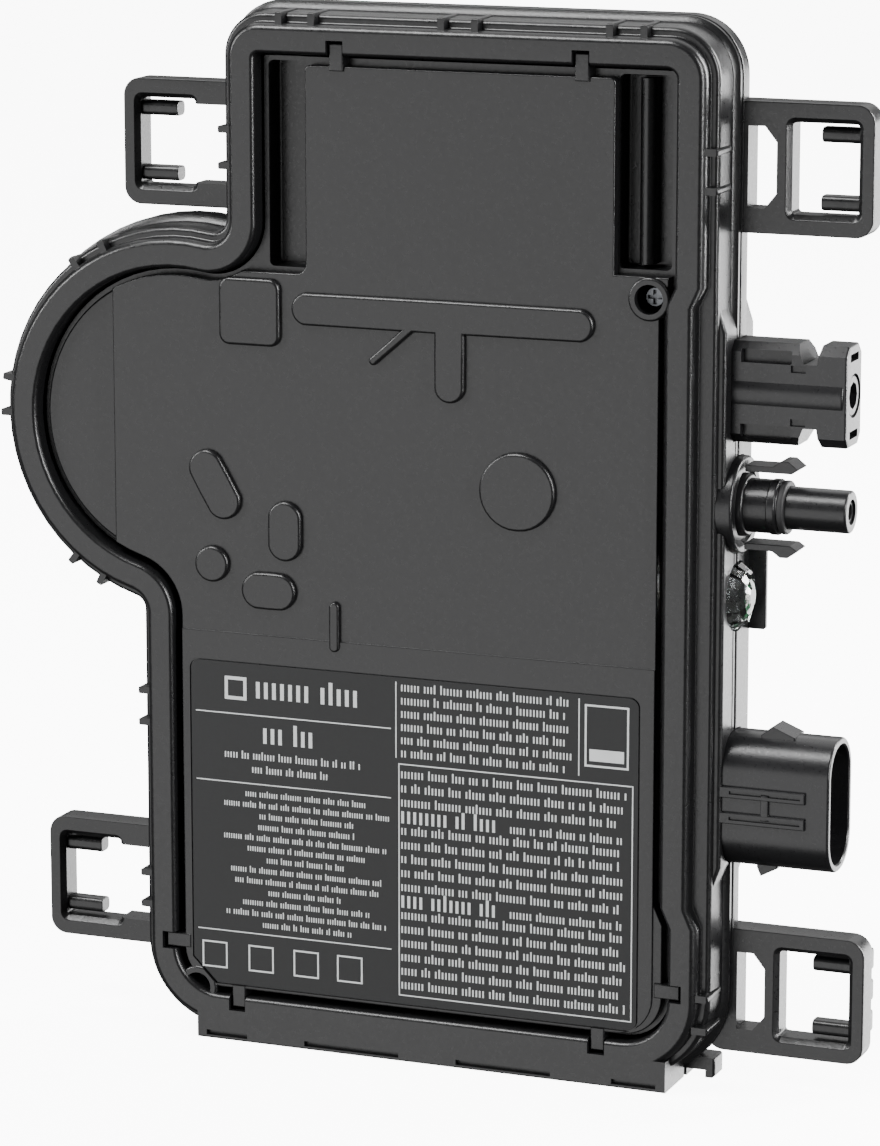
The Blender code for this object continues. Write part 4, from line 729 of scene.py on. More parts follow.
# Edge of the flange, side, length, lower end
LOOPS = ((-44.4, -1, 24.8, 169.8), (61.9, 1, 26.0, 170.4), (-63.3, -1, 25.4, 14.6), (61.9, 1, 27.0, 6.2))


def between(start, side, near_end, far_end):
    """Limits along X at two distances from a start, whichever side they lie on."""
    return tuple(sorted((start + side * near_end, start + side * far_end)))


def funnel_window(x, z):
    """A cutter that is wider by the funnel at the loop's front."""
    wide_x, wide_z = ((low - FUNNEL, high + FUNNEL) for low, high in (x, z))
    window = rounded_plate("window", wide_x, wide_z, (LOOP_Y[0] - 1, LOOP_Y[0]), FUNNEL + 0.7)
    pick(window, "FACE", lambda spot, normal: normal.y > 0.9)
    step_in([(0.25, 0.1), (FUNNEL - 0.25, FUNNEL), (0.0, LOOP_Y[1] - LOOP_Y[0])])
    done()
    return window


def side_window(start, side, z, has_web):
    """The opening beside the flange: with its far corners cut where it meets the web."""
    near_x, far_x = (start + side * d for d in (SIDE_WINDOW[0], SIDE_WINDOW[1] if has_web else WEB_END + 1))
    low, high, cut = z[0] + 0.9, z[1] - 0.9, 3.0 if has_web else 0.8
    corner = far_x - side * cut * 0.8
    begin = (near_x, low)
    path = [(corner, low), (far_x, low + cut), (far_x, high - cut), (corner, high), (near_x, high), begin]
    return draw_outline("side_window", (LOOP_Y[0] - 1, LOOP_Y[1] + 1), begin, path)


def half_round_bar(x, z):
    bar = block("half_round_bar", x, (14.8, 18.6), (z - 1.5, z + 1.5))
    bevel(bar, along(X), 1.1, 4)
    return bevel(bar, lambda a, b: on_plane(X, x[0])(a, b) or on_plane(X, x[1])(a, b), 0.3, 2)


def bracket_loop(edge, side, length, low):
    has_web = side > 0
    z = (low, low + LOOP_HEIGHT)
    plate = rounded_plate("bracket_loop", between(edge, side, -5.5, length), z, LOOP_Y, LOOP_ROUND)
    bevel(plate, on_plane(Y, LOOP_Y[0]), 0.35, 2)
    bevel(plate, on_plane(Y, LOOP_Y[1]), 0.35, 2)
    inner_z = (z[0] + LOOP_RIM + 0.6, z[1] - LOOP_RIM - 0.6)
    cut(plate, funnel_window(between(edge, side, WEB_END, length - LOOP_RIM), inner_z))
    cut(plate, side_window(edge, side, inner_z, has_web))
    bar_x = between(edge, side, length - LOOP_RIM - BAR_LENGTH, length - LOOP_RIM + 1)
    for bar_z in (inner_z[0] + 2.3, inner_z[1] - 2.3):
        combine(plate, half_round_bar(bar_x, bar_z))
    if has_web:
        teeth_x = between(edge, side, length - 1.5, length)
        for share in (0.3, 0.55, 0.8):
            tooth_z = around(z[0] + share * LOOP_HEIGHT, 2.2)
            tooth = block("tooth", teeth_x, (LOOP_Y[1] - 1.5, LOOP_Y[1] + 0.9), tooth_z)
            combine(plate, bevel(tooth, along(Y), 0.5, 2))
    return plate


def groove_clearance():
    """What the loops and the wall may not reach into: the groove for the seal and the frame's place."""
    return body_block("groove_clearance", 1.5, (0.0, FLANGE_Y[0] + 1.9))


def furnish_rear(shell):
    for loop in LOOPS:
        combine(shell, cut(bracket_loop(*loop), groove_clearance()))
    wall = connector_wall((FLANGE_Y[0], WALL_BACK), WALL_BACK)
    cut(wall, body_block("hollow_clearance", -4.9, (0.0, HOLLOW_Y)))
    combine(shell, cut(wall, groove_clearance()))
    guard = block("lens_guard", (WALL_X - 1, GUARD_X), (WALL_BACK - 1.5, WALL_BACK), (91.0, 107.0))
    combine(shell, bevel(guard, on_plane(X, GUARD_X), 0.4, 2))
    hook = block("corner_hook", (50.0, HOOK_X), (12.9, 18.4), (0.1, 4.2))
    combine(shell, bevel(hook, on_plane(X, HOOK_X), 0.6, 3))
    cut(shell, block("hook_slot", (52.5, 56.4), (12.0, 19.0), (-1.0, 1.6)))
    return cut_socket_openings(shell)


furnish_rear(rear_housing)
print("rear housing:", len(rear_housing.data.polygons), "faces")

# %% [markdown]
# ## Name label
#
# The label is a printed polyester film in a shallow pocket. Its outline has one corner cut off. The
# print is real ink with a thickness, so it is modelled as thin raised bars: each line of text is a
# row of plain ticks with no letters, made once and repeated by an Array, and each mark a plain box.

# %% Film and print
FILM_Y = (1.10, 1.45)
FILM_X = (-50.2, 45.8)
FILM_Z = (11.9, 79.5)
FILM_ROUND = 2.0
FILM_CUT = 5.2
INK_Y = (FILM_Y[0] - 0.03, FILM_Y[0] + 0.01)


def film_shape(name, grow, y):
    left, right = FILM_X[0] - grow, FILM_X[1] + grow
    low, high, r = FILM_Z[0] - grow, FILM_Z[1] + grow, FILM_ROUND + grow
    path = [
        (left + FILM_CUT, low), (right - r, low), (right - r, low + r, 90), (right, high - r),
        (right - r, high - r, 90), (left + r, high), (left + r, high - r, 90), (left, low + FILM_CUT),
    ]
    return draw_outline(name, y, (left, low + FILM_CUT), path)


cut(cover_plate, film_shape("label_pocket", 0.3, (-1.0, FILM_Y[1] + 0.05)))
soften(cover_plate)
name_label = soften(bevel(film_shape("name_label_film", 0.0, FILM_Y), on_plane(Y, FILM_Y[0]), 0.06, 2))
print("label:", len(name_label.data.polygons), "faces")

# %% Ticks and boxes
ink_parts = []
dice = random.Random(7)


def ink_bar(x, z):
    ink_parts.append(block("ink", x, INK_Y, z))


def greeked_line(x, z, height):
    """A line of small print with no letters: upright ticks in groups, some of them taller."""
    tick, pitch = height * 0.24, height * 0.52
    line = block("ink", (x[0], x[0] + tick), INK_Y, around(z, height / 2))
    count = int((x[1] - x[0]) / pitch)
    row = line.modifiers.new("row", "ARRAY")
    row.use_relative_offset = False
    row.use_constant_offset = True
    row.constant_offset_displace = (pitch * MM, 0, 0)
    row.count = count
    focus(line)
    bpy.ops.object.modifier_apply(modifier="row")
    gaps, tall, spot = set(), set(), 0
    while spot < count:
        spot += dice.randint(2, 9)
        gaps.add(spot)
        tall.add(spot + dice.randint(1, 4))
        spot += 1
    which = lambda p: int((p.x - x[0] + pitch * 0.1) / pitch)
    pick(line, "VERT", lambda p: which(p) in tall and p.z > z)
    bpy.ops.transform.translate(value=(0, 0, height * 0.35 * MM))
    done()
    pick(line, "VERT", lambda p: which(p) in gaps)
    bpy.ops.mesh.delete(type="VERT")
    done()
    ink_parts.append(line)


def ink_frame(x, z, line):
    for low, high in ((x[0], x[0] + line), (x[1] - line, x[1])):
        ink_bar((low, high), z)
    for low, high in ((z[0], z[0] + line), (z[1] - line, z[1])):
        ink_bar((x[0] + line, x[1] - line), (low, high))


LEFT_COLUMN = (-49.2, -6.5)
RIGHT_COLUMN = (-4.3, 44.2)


def print_label():
    middle = sum(LEFT_COLUMN) / 2
    ink_frame(around(middle - 12.5, 2.4), (71.8, 76.6), 0.7)
    greeked_line(around(middle + 3.5, 11.5), 74.2, 3.4)
    for z in (68.9, 54.6, 23.1):
        ink_bar(LEFT_COLUMN, around(z, 0.12))
    greeked_line(around(middle, 6.5), 64.8, 3.2)
    greeked_line(around(middle, 15.0), 60.3, 1.2)
    greeked_line(around(middle, 9.0), 57.5, 1.2)
    for row in range(13):
        half = 13.5 + 5.0 * math.sin(row * 1.9)
        greeked_line(around(middle + 3.0, half), 52.4 - row * 2.28, 1.0)
    for x in (-45.5, -35.2, -25.2, -15.6):
        ink_frame(around(x, 2.8), (15.0, 20.6), 0.35)
    ink_bar(around(-5.4, 0.12), (63.0, 78.6))
    ink_bar(around(33.4, 0.12), (63.0, 78.6))
    for row in range(6):
        greeked_line((RIGHT_COLUMN[0], 32.4 - 1.2 * (row % 2)), 77.4 - row * 2.7, 1.35)
    ink_frame((34.6, 43.8), (65.0, 77.6), 0.4)
    ink_bar((35.6, 42.8), (66.2, 68.6))
    ink_frame((-4.9, 44.8), (13.6, 61.9), 0.25)
    for row in range(16):
        z = 59.6 - row * 2.92
        if row in (3, 9):
            greeked_line((RIGHT_COLUMN[0], 17.0), z, 2.5)
            greeked_line((19.0, RIGHT_COLUMN[1] - 1), z - 0.4, 1.35)
        else:
            greeked_line((RIGHT_COLUMN[0], RIGHT_COLUMN[1] - 0.8 * (row % 3)), z, 1.4)
    focus(ink_parts[0])
    for part in ink_parts:
        part.select_set(True)
    bpy.ops.object.join()
    ink = bpy.context.object
    ink.name = "label_print"
    return ink


label_print = print_label()
print("print:", len(ink_parts), "bars")

# %% [markdown]
# ## Sockets for the panel's leads
#
# The two sockets differ so that they can't be crossed. The upper one is a flattened body with a
# round belly, a waist that a latch grips, and a round port. The lower one is turned: a disc, a
# barrel with a sealing ring, and a long sleeve, flanked by two springy arms with barbs. Turned shapes
# start as a short cylinder, and insets on its end face draw the steps of the profile.

# %% Upper socket
END_X = 84.6


def end_facing(x):
    return lambda spot, normal: near(spot.x, x) and normal.x > 0.9


def turned(name, x, radius, z, moves, sides=64):
    """A cylinder along X whose outer end is drawn on by insets."""
    piece = rod(name, "X", (sum(x) / 2, AXIS_Y, z), radius, x[1] - x[0], sides)
    pick(piece, "FACE", end_facing(x[1]))
    step_in(moves)
    done()
    return piece


def waist_cutter(sign):
    """Cuts the waist above or below, with a slanted shoulder on the wall's side."""
    z = UPPER_Z + sign * 6.2
    far = z + sign * 6
    path = [(78.6, z), (79.6, far), (73.6, far), (75.6, z + sign * 0.9), (76.0, z)]
    return draw_outline("waist", around(AXIS_Y, 9.0), (76.0, z), path)


def make_upper_socket():
    body = lying_block("upper_dc_socket_body", (ROOT_X, END_X), 5.0, 9.9, UPPER_Z, 1.9, 1)
    bevel(body, on_plane(X, END_X), 0.5, 2)
    for sign in (-1, 1):
        cut(body, waist_cutter(sign))
        for front in (-1, 1):
            y = AXIS_Y + front * 5.4
            pocket = block("pocket", (63.4, 73.6), (y, y - front * 2.2), around(UPPER_Z + sign * 7.3, 1.3))
            cut(body, bevel(pocket, on_plane(X, 73.6), 0.4, 2))
            step = block("step", (73.4, 76.4), (y, y - front * 1.1), around(UPPER_Z + sign * 5.2, 0.7))
            cut(body, step)
        slot_z = around(UPPER_Z + sign * 7.5, 0.75)
        cut(body, block("end_slot", (END_X - 1.6, END_X + 1), around(AXIS_Y, 2.6), slot_z))
    belly_end = END_X - 0.6
    belly = rod("belly", "X", ((ROOT_X + belly_end) / 2, AXIS_Y, UPPER_Z), 5.55, belly_end - ROOT_X, 64)
    combine(body, bevel(belly, on_plane(X, belly_end), 0.5, 3))
    cut(body, rod("collar_groove", "X", (END_X, AXIS_Y, UPPER_Z), 4.3, 1.0, 48))
    lip = rod("port_lip", "X", (END_X - 1.5, AXIS_Y, UPPER_Z), 3.9, 2.6, 48)
    combine(body, bevel(lip, on_plane(X, END_X - 0.2), 0.3, 2))
    cut(body, rod("port", "X", (END_X - 8.0, AXIS_Y, UPPER_Z), 2.7, 18.0, 8))
    cut(body, rod("pin_way", "X", (END_X - 14.0, AXIS_Y, UPPER_Z), 1.5, 32.0, 24))
    return soften(body)


upper_socket = make_upper_socket()
print("upper socket:", len(upper_socket.data.polygons), "faces")

# %% Lower socket, its ring and arms
SLEEVE_RADIUS = 4.2
SLEEVE_START = 69.0
ARM_START = 63.8
RING_X = (70.8, 72.2)
LOWER_MOVES = quarter_round(0.7, 0.6, 4, True)
LOWER_MOVES += [(1.5, 0.0), (0.15, -0.7), (1.0, 0.0), (0.15, 1.1)]
LOWER_MOVES += quarter_round(0.5, 0.5, 3, True)
LOWER_MOVES += [(0.3, 0.0), (0.0, 6.2)]
LOWER_MOVES += quarter_round(0.5, 0.5, 3, True)
LOWER_MOVES += [(0.6, 0.0), (0.0, 12.2)]
LOWER_MOVES += quarter_round(0.5, 0.5, 3, True)


def make_lower_socket():
    body = turned("lower_dc_socket_body", (ROOT_X, 62.7), DISC_RADIUS, LOWER_Z, LOWER_MOVES)
    collar = rod("collar", "X", (69.6, AXIS_Y, LOWER_Z), 5.5, 1.8, 64)
    combine(body, bevel(collar, lambda a, b: near(a.x, b.x), 0.35, 3))
    sleeve_spot = ((SLEEVE_START + END_X) / 2, AXIS_Y, LOWER_Z)
    sleeve = rod("sleeve", "X", sleeve_spot, SLEEVE_RADIUS, END_X - SLEEVE_START, 64)
    combine(body, bevel(sleeve, on_plane(X, END_X), 0.5, 3))
    cut(body, rod("mouth", "X", (END_X, AXIS_Y, LOWER_Z), 2.5, 1.0, 40))
    cut(body, rod("bore", "X", (72.0, AXIS_Y, LOWER_Z), 1.6, 40.0, 32))
    return soften(body)


def make_ring():
    middle = (sum(RING_X) / 2, AXIS_Y, LOWER_Z)
    ring = rod("lower_dc_seal_ring", "X", middle, 5.3, RING_X[1] - RING_X[0], 64)
    bevel(ring, lambda a, b: near(a.x, b.x), 0.45, 4)
    cut(ring, rod("ring_bore", "X", middle, SLEEVE_RADIUS + 0.05, 6.0, 64))
    return soften(ring)


def make_arm(name, sign):
    """A springy blade with a barbed tip, drawn as its side profile."""
    inner, outer, barb = (LOWER_Z + sign * h for h in (7.05, 8.35, 9.5))
    start = (ARM_START, inner)
    tip = [(73.2, inner), (74.6, inner + sign * 0.9), (72.6, barb), (71.0, barb), (69.4, outer)]
    path = [*tip, (ARM_START, outer), start]
    arm = draw_outline(name, (10.4, 16.2), start, path)
    return soften(bevel(arm, lambda a, b: True, 0.18, 2))


lower_socket = make_lower_socket()
seal_ring = make_ring()
upper_arm = make_arm("latch_arm_upper_blade", 1)
lower_arm = make_arm("latch_arm_lower_blade", -1)
print("lower socket:", len(lower_socket.data.polygons), "faces")

# %% [markdown]
# ## Lens and output socket
#
# The state lamp's lens is clear and cut in facets, so it keeps few sides and no smoothing. The
# output socket is a shroud with round ends: a block with its long edges rounded, its end face inset
# and pushed in. Ramps above and below hold the plug, and two rails with a bridge guide it.

# %% Lens
LENS_X = (54.0, 61.4)
LENS_SIDES = 14
LENS_MOVES = [(0.35, 0.8), (1.1, 1.5), (0.5, -0.25), (1.3, 0.9), (1.6, 0.55)]


def make_lens():
    lens = turned("status_lens_clear", LENS_X, LENS_RADIUS, LENS_Z, LENS_MOVES, LENS_SIDES)
    pick(lens, "FACE", lambda spot, normal: near(spot.x, LENS_X[0]) and normal.x < -0.9)
    step_in([(0.6, 0.0), (1.4, -2.0), (1.6, -1.2)])
    done()
    return lens


status_lens = make_lens()
print("lens:", len(status_lens.data.polygons), "faces")

# %% Output socket
SHROUD_END = 83.3
SHROUD_WALL = 1.6
CAVITY_X = 64.1
RAIL_END = 78.6
RAIL_APART = 2.6  # from the socket's middle to each rail's middle
CONTACTS_Z = (65.5, 58.9, 52.3)
INSERT_X = (64.4, 74.0)


def ramp(z, sign, marks, rise):
    """A wedge that stands above or below the shroud: it rises slowly and drops."""
    start, peak, end = (FACE_X + m for m in marks)
    begin = (start, z - sign * 0.8)
    path = [(end, z - sign * 0.8), (end, z), (peak, z + sign * rise), (start, z), begin]
    return bevel(draw_outline("ramp", around(AXIS_Y, 3.2), begin, path), lambda a, b: near(a.y, b.y), 0.2, 2)


def make_shroud():
    shroud = lying_block("ac_socket_shroud", (ROOT_X, SHROUD_END - 0.5), *AC_HALF, AC_Z, AC_ROUND, 12)
    pick(shroud, "FACE", end_facing(SHROUD_END - 0.5))
    cavity = [(SHROUD_WALL - 0.9, 0.0), (0.3, -0.3), (0.05, CAVITY_X - SHROUD_END + 0.3)]
    step_in(quarter_round(0.5, 0.5, 4, True) + cavity)
    done()
    combine(shroud, ramp(AC_Z + AC_HALF[1], 1, (6.0, 8.5, 12.9), 1.8))
    combine(shroud, ramp(AC_Z - AC_HALF[1], -1, (5.5, 6.3, 9.7), 1.8))
    front = AXIS_Y - AC_HALF[0]
    for sign in (-1, 1):
        rail_z = AC_Z + sign * RAIL_APART
        rail = block("rail", (ROOT_X, RAIL_END), (front - 0.7, front + 0.5), around(rail_z, 1.15))
        combine(shroud, bevel(rail, on_plane(Y, front - 0.7), 0.25, 2))
        groove_x = (63.2, RAIL_END - 0.9)
        cut(shroud, block("rail_groove", groove_x, (front - 1.5, front - 0.2), around(rail_z, 0.35)))
    bridge = block("bridge", (69.6, 71.2), (front - 0.6, front + 0.5), around(AC_Z, RAIL_APART))
    combine(shroud, bevel(bridge, on_plane(Y, front - 0.6), 0.2, 2))
    for z in CONTACTS_Z:
        cut(shroud, rod("pin_way", "X", (60.0, AXIS_Y, z), 1.5, 12.0, 24))
    return soften(shroud)


def make_insert():
    """The keyed block that holds the three contacts, each in a well."""
    insert = lying_block("ac_contact_block", INSERT_X, 4.6, 8.7, AC_Z, 2.2, 4)
    bevel(insert, on_plane(X, INSERT_X[1]), 0.4, 2)
    for z in (AC_Z - 3.3, AC_Z + 3.3):
        key = block("key_way", (66.0, 75.0), (AXIS_Y - 6.0, AXIS_Y - 3.2), around(z, 0.8))
        cut(insert, key)
    for z in CONTACTS_Z:
        cut(insert, rod("well", "X", (71.5, AXIS_Y, z), 2.3, 7.0, 32))
        cut(insert, rod("pin_way", "X", (68.0, AXIS_Y, z), 1.4, 12.0, 24))
    return soften(insert)


ac_shroud = make_shroud()
ac_insert = make_insert()
print("output socket:", len(ac_shroud.data.polygons), "faces")

# %% [markdown]
# ## Who rides on what
#
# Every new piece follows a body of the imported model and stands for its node, so the two springy
# arms flex with their own bodies and all else stays with the inverter.

# %% Rides
PIECES = (
    (front_frame, "inverter", "front_frame", "housing_black"),
    (cover_plate, "inverter", "cover_plate", "housing_black"),
    (rear_housing, "inverter", "rear_housing", "housing_black"),
    (name_label, "inverter", "name_label", "label_film"),
    (upper_socket, "inverter", "upper_dc_body", "connector_black"),
    (lower_socket, "inverter", "lower_dc_body", "connector_black"),
    (seal_ring, "inverter", "lower_dc_ring", "seal_rubber"),
    (upper_arm, "upper_latch", "latch_arm_upper", "connector_black"),
    (lower_arm, "lower_latch", "latch_arm_lower", "connector_black"),
    (status_lens, "inverter", "status_lens", "lens_clear"),
    (ac_shroud, "inverter", "ac_shroud", "connector_black"),
    (ac_insert, "inverter", "ac_insert", "connector_black"),
)
for piece, body, replaced, slot in PIECES:
    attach(piece, body)
    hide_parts(replaced)
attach(label_print, "inverter")
print("riding pieces:", len(PIECES) + 1)

# %% [markdown]
# ## Finishes
#
# Colours are given as on a screen, in hex, and one function turns them to linear light. One small
# function adds a node with its settings and its links. Every pattern reads the piece's own
# coordinates, which are metres, so a pattern's scale is one over its real size.

# %% Colour and node helpers
def linear(hex_colour):
    channels = [int(hex_colour[i:i + 2], 16) / 255 for i in (1, 3, 5)]
    return [c / 12.92 if c <= 0.04045 else ((c + 0.055) / 1.055) ** 2.4 for c in channels] + [1.0]


def add(tree, kind, settings, links):
    """Adds a node; links gives each input a value or another node's output."""
    node = tree.nodes.new("ShaderNode" + kind)
    for name, value in settings.items():
        setattr(node, name, value)
    for name, value in links.items():
        if isinstance(value, bpy.types.NodeSocket):
            tree.links.new(value, node.inputs[name])
        else:
            node.inputs[name].default_value = value
    return node


def new_finish(name, sockets):
    """A material with its shader's fixed values set, and the coordinates of the piece."""
    material = bpy.data.materials.new(name)
    material.use_nodes = True
    tree = material.node_tree
    shader = tree.nodes["Principled BSDF"]
    for socket, value in sockets.items():
        shader.inputs[socket].default_value = value
    return material, tree, shader, add(tree, "TexCoord", {}, {}).outputs["Object"]


def feed(tree, shader, **outputs):
    """Links the patterns to the shader: colour, roughness and the bumped normal."""
    sockets = {"colour": "Base Color", "gloss": "Roughness", "bump": "Normal"}
    for name, output in outputs.items():
        tree.links.new(output, shader.inputs[sockets[name]])


def per_mm(size):
    """Scale of a pattern whose features are this many millimetres across."""
    return 1 / (size * MM)


# %% [markdown]
# Most pieces are moulded, cast or sintered: their colour drifts a little over centimetres, and a
# fine grain breaks up both the gloss and the surface. One function makes all of these from the
# two colours, the sizes of drift and grain, the grain's height and the range of roughness.

# %% Grained finishes
def grained(name, colours, drift, grain, height, rough, sockets):
    material, tree, shader, spot = new_finish(name, sockets)
    patches = add(tree, "TexNoise", {}, {"Vector": spot, "Scale": per_mm(drift), "Detail": 5.0})
    fine = {"Vector": spot, "Scale": per_mm(grain), "Detail": 3.0, "Roughness": 0.65}
    grains = add(tree, "TexNoise", {}, fine)
    mix = {0: patches.outputs["Fac"], 6: linear(colours[0]), 7: linear(colours[1])}
    colour = add(tree, "Mix", {"data_type": "RGBA"}, mix)
    span = {"From Min": 0.3, "From Max": 0.7, "To Min": rough[0], "To Max": rough[1]}
    gloss = add(tree, "MapRange", {}, {"Value": grains.outputs["Fac"], **span})
    bump = add(tree, "Bump", {}, {"Height": grains.outputs["Fac"], "Distance": height * MM})
    feed(tree, shader, colour=colour.outputs[2], gloss=gloss.outputs["Result"], bump=bump.outputs["Normal"])
    return material


PLASTIC = {"IOR": 1.5, "Specular IOR Level": 0.5}
GRAINED = {
    # Glass-filled polyester moulded against spark-eroded steel: near black, half gloss, fine soft grain
    "housing_black": ("spark_eroded_housing", ("#101011", "#151516"), 40, 0.7, 0.035, (0.26, 0.36), PLASTIC),
    # Polyamide from a polished mould: near black, as glossy as the housing but with a much flatter grain
    "connector_black": ("smooth_polyamide", ("#131314", "#18181a"), 25, 0.5, 0.012, (0.26, 0.38), PLASTIC),
    # Silicone: matt, dark, a little dusty
    "seal_rubber": ("silicone_rubber", ("#1d1d1e", "#262627"), 6, 0.4, 0.01, (0.5, 0.7), PLASTIC),
    # Sintered ferrite: dark grey ceramic with a mineral grain
    "ferrite": ("sintered_ferrite", ("#2a2a2d", "#3b3b3f"), 9, 0.5, 0.03, (0.5, 0.75), PLASTIC),
    # Box of a film capacitor: grey polyester, potted
    "film_case": ("grey_potted_case", ("#75787b", "#7f8285"), 12, 0.5, 0.01, (0.3, 0.45), PLASTIC),
    # Epoxy moulding of chips and relays
    "component_case": ("epoxy_case", ("#1a1a1b", "#232324"), 8, 0.3, 0.01, (0.45, 0.6), PLASTIC),
    # Soft pad filled with ceramic powder
    "thermal_pad": ("filled_silicone_pad", ("#b9818c", "#c68f98"), 7, 0.4, 0.02, (0.6, 0.8), PLASTIC),
    # Poured resin: dark, smooth, with a slow swell
    "potting_resin": ("poured_resin", ("#262628", "#303033"), 18, 4.0, 0.08, (0.2, 0.3), PLASTIC),
    # White moulded body of the lamp
    "led_body": ("white_lamp_body", ("#dcdad2", "#e6e4dc"), 4, 0.3, 0.005, (0.3, 0.4), PLASTIC),
    # Screen-printed pale ink: matt, slightly uneven in cover
    "print": ("screen_ink", ("#c6c8c8", "#d6d8d8"), 3, 0.3, 0.004, (0.5, 0.65), PLASTIC),
    # Matt polyester film with a very fine orange peel
    "label_film": ("polyester_film", ("#0c0d0e", "#0f1011"), 30, 0.6, 0.006, (0.5, 0.56), PLASTIC),
}
finishes = {slot: grained(*recipe) for slot, recipe in GRAINED.items()}
print("grained finishes:", len(finishes))

# %% [markdown]
# Metals keep the default index of refraction. Drawn and plated metal shows fine lines along the way
# it was worked, so its noise is stretched by a Mapping node. Wound wire shows its windings as bands,
# with painted shade darkening the creases between them. The board shows its copper under the green
# mask, and the lens lets the light through.

# %% Metal, wire, board and lens
def worked_metal(name, colours, stretch, line, rough):
    """Metal with lines that run along the axis with the smallest stretch."""
    material, tree, shader, spot = new_finish(name, {"Metallic": 1.0})
    lines_at = add(tree, "Mapping", {}, {"Vector": spot, "Scale": stretch})
    fine = {"Vector": lines_at.outputs["Vector"], "Scale": per_mm(line), "Detail": 4.0}
    lines = add(tree, "TexNoise", {}, fine)
    mix = {0: lines.outputs["Fac"], 6: linear(colours[0]), 7: linear(colours[1])}
    colour = add(tree, "Mix", {"data_type": "RGBA"}, mix)
    span = {"Value": lines.outputs["Fac"], "To Min": rough[0], "To Max": rough[1]}
    gloss = add(tree, "MapRange", {}, span)
    bump = add(tree, "Bump", {}, {"Height": lines.outputs["Fac"], "Distance": 0.004 * MM})
    feed(tree, shader, colour=colour.outputs[2], gloss=gloss.outputs["Result"], bump=bump.outputs["Normal"])
    return material


METALS = {
    # Tin plating on turned copper: pale, soft sheen
    "contact_tin": ("tin_plating", ("#c9c7c0", "#dddbd5"), (0.2, 1, 1), 0.3, (0.25, 0.4)),
    # Zinc plated steel: cold grey, fine cloud
    "screw_steel": ("zinc_plated_steel", ("#5c5e61", "#77797c"), (1, 0.3, 1), 0.4, (0.3, 0.5)),
    # Drawn aluminium: light grey with lines along the can
    "aluminium_can": ("drawn_aluminium", ("#b4b7bb", "#c6c9cc"), (1, 1, 0.05), 0.2, (0.25, 0.4)),
}
finishes.update({slot: worked_metal(*recipe) for slot, recipe in METALS.items()})

WAVE_PERIOD = 0.314  # width of one band of the wave texture at scale 1


def enamelled_wire():
    """Copper wire in clear enamel: close windings, 0.9 mm apart, warm and glossy, with painted shade in the
    creases between them.
    """
    material, tree, shader, spot = new_finish("enamelled_copper", {"Metallic": 0.85, "Roughness": 0.3})
    bands = {"Vector": spot, "Scale": WAVE_PERIOD * per_mm(0.9)}
    turn_ridges_and_shade = add(tree, "TexWave", {"bands_direction": "Z"}, bands)
    # The dark brown is painted shade in the creases between the windings; the copper colour sits on their
    # crowns.
    mix = {0: turn_ridges_and_shade.outputs["Fac"], 6: linear("#5a2510"), 7: linear("#b5653a")}
    colour = add(tree, "Mix", {"data_type": "RGBA"}, mix)
    bump = add(tree, "Bump", {}, {"Height": turn_ridges_and_shade.outputs["Fac"], "Distance": 0.3 * MM})
    feed(tree, shader, colour=colour.outputs[2], bump=bump.outputs["Normal"])
    return material


def solder_mask():
    """Green lacquer over copper tracks about 2.5 mm apart, which show lighter and slightly raised."""
    material, tree, shader, spot = new_finish("solder_mask", {"IOR": 1.5, "Roughness": 0.28})
    cells = {"Vector": spot, "Scale": per_mm(2.5)}
    tracks = add(tree, "TexVoronoi", {"feature": "DISTANCE_TO_EDGE", "distance": "EUCLIDEAN"}, cells)
    rise = {"Value": tracks.outputs["Distance"], "From Min": 0.06, "From Max": 0.1}
    edge = add(tree, "MapRange", {}, rise)
    mix = {0: edge.outputs["Result"], 6: linear("#1f7a44"), 7: linear("#0f4a28")}
    colour = add(tree, "Mix", {"data_type": "RGBA"}, mix)
    bump = add(tree, "Bump", {"invert": True}, {"Height": edge.outputs["Result"], "Distance": 0.035 * MM})
    feed(tree, shader, colour=colour.outputs[2], bump=bump.outputs["Normal"])
    return material


def clear_lens():
    """Clear polycarbonate, polished, with a faint flow swell from moulding."""
    sockets = {"IOR": 1.585, "Transmission Weight": 1.0, "Base Color": linear("#f4f7f8")}
    material, tree, shader, spot = new_finish("clear_polycarbonate", sockets)
    swell = add(tree, "TexNoise", {}, {"Vector": spot, "Scale": per_mm(3.0)})
    gloss = add(tree, "MapRange", {}, {"Value": swell.outputs["Fac"], "To Min": 0.02, "To Max": 0.08})
    feed(tree, shader, gloss=gloss.outputs["Result"])
    return material


finishes["copper_wire"] = enamelled_wire()
finishes["board_green"] = solder_mask()
finishes["lens_clear"] = clear_lens()

# %% Painting
SLOT_OF_NODE = {
    "housing_seal": "seal_rubber", "potting_layer": "potting_resin", "thermal_pad": "thermal_pad",
    "circuit_board": "board_green", "film_capacitor": "film_case", "status_led": "led_body",
    "heat_spreader": "aluminium_can", "inductor_core": "ferrite", "control_chip": "component_case",
    "transformer_winding": "copper_wire", "upper_dc_pin": "contact_tin", "lower_dc_socket": "contact_tin",
}
SLOT_OF_START = {
    "transformer_core": "ferrite", "inductor_winding": "copper_wire", "input_capacitor": "aluminium_can",
    "relay": "component_case", "dc_mosfet": "component_case", "ac_pin": "contact_tin",
    "cover_screw": "screw_steel", "board_screw": "screw_steel",
}


def paint(obj, slot):
    obj.data.materials.clear()
    obj.data.materials.append(finishes[slot])


for piece, _body, _replaced, slot in PIECES:
    paint(piece, slot)
paint(label_print, "print")
replaced_nodes = {replaced for _piece, _body, replaced, _slot in PIECES}
kept_nodes = [name for name in nodes if name not in replaced_nodes]
for name in kept_nodes:
    starts = [slot for start, slot in SLOT_OF_START.items() if name.startswith(start)]
    paint(bpy.data.objects[name], SLOT_OF_NODE.get(name) or starts[0])
print("nodes kept with a finish:", len(kept_nodes))

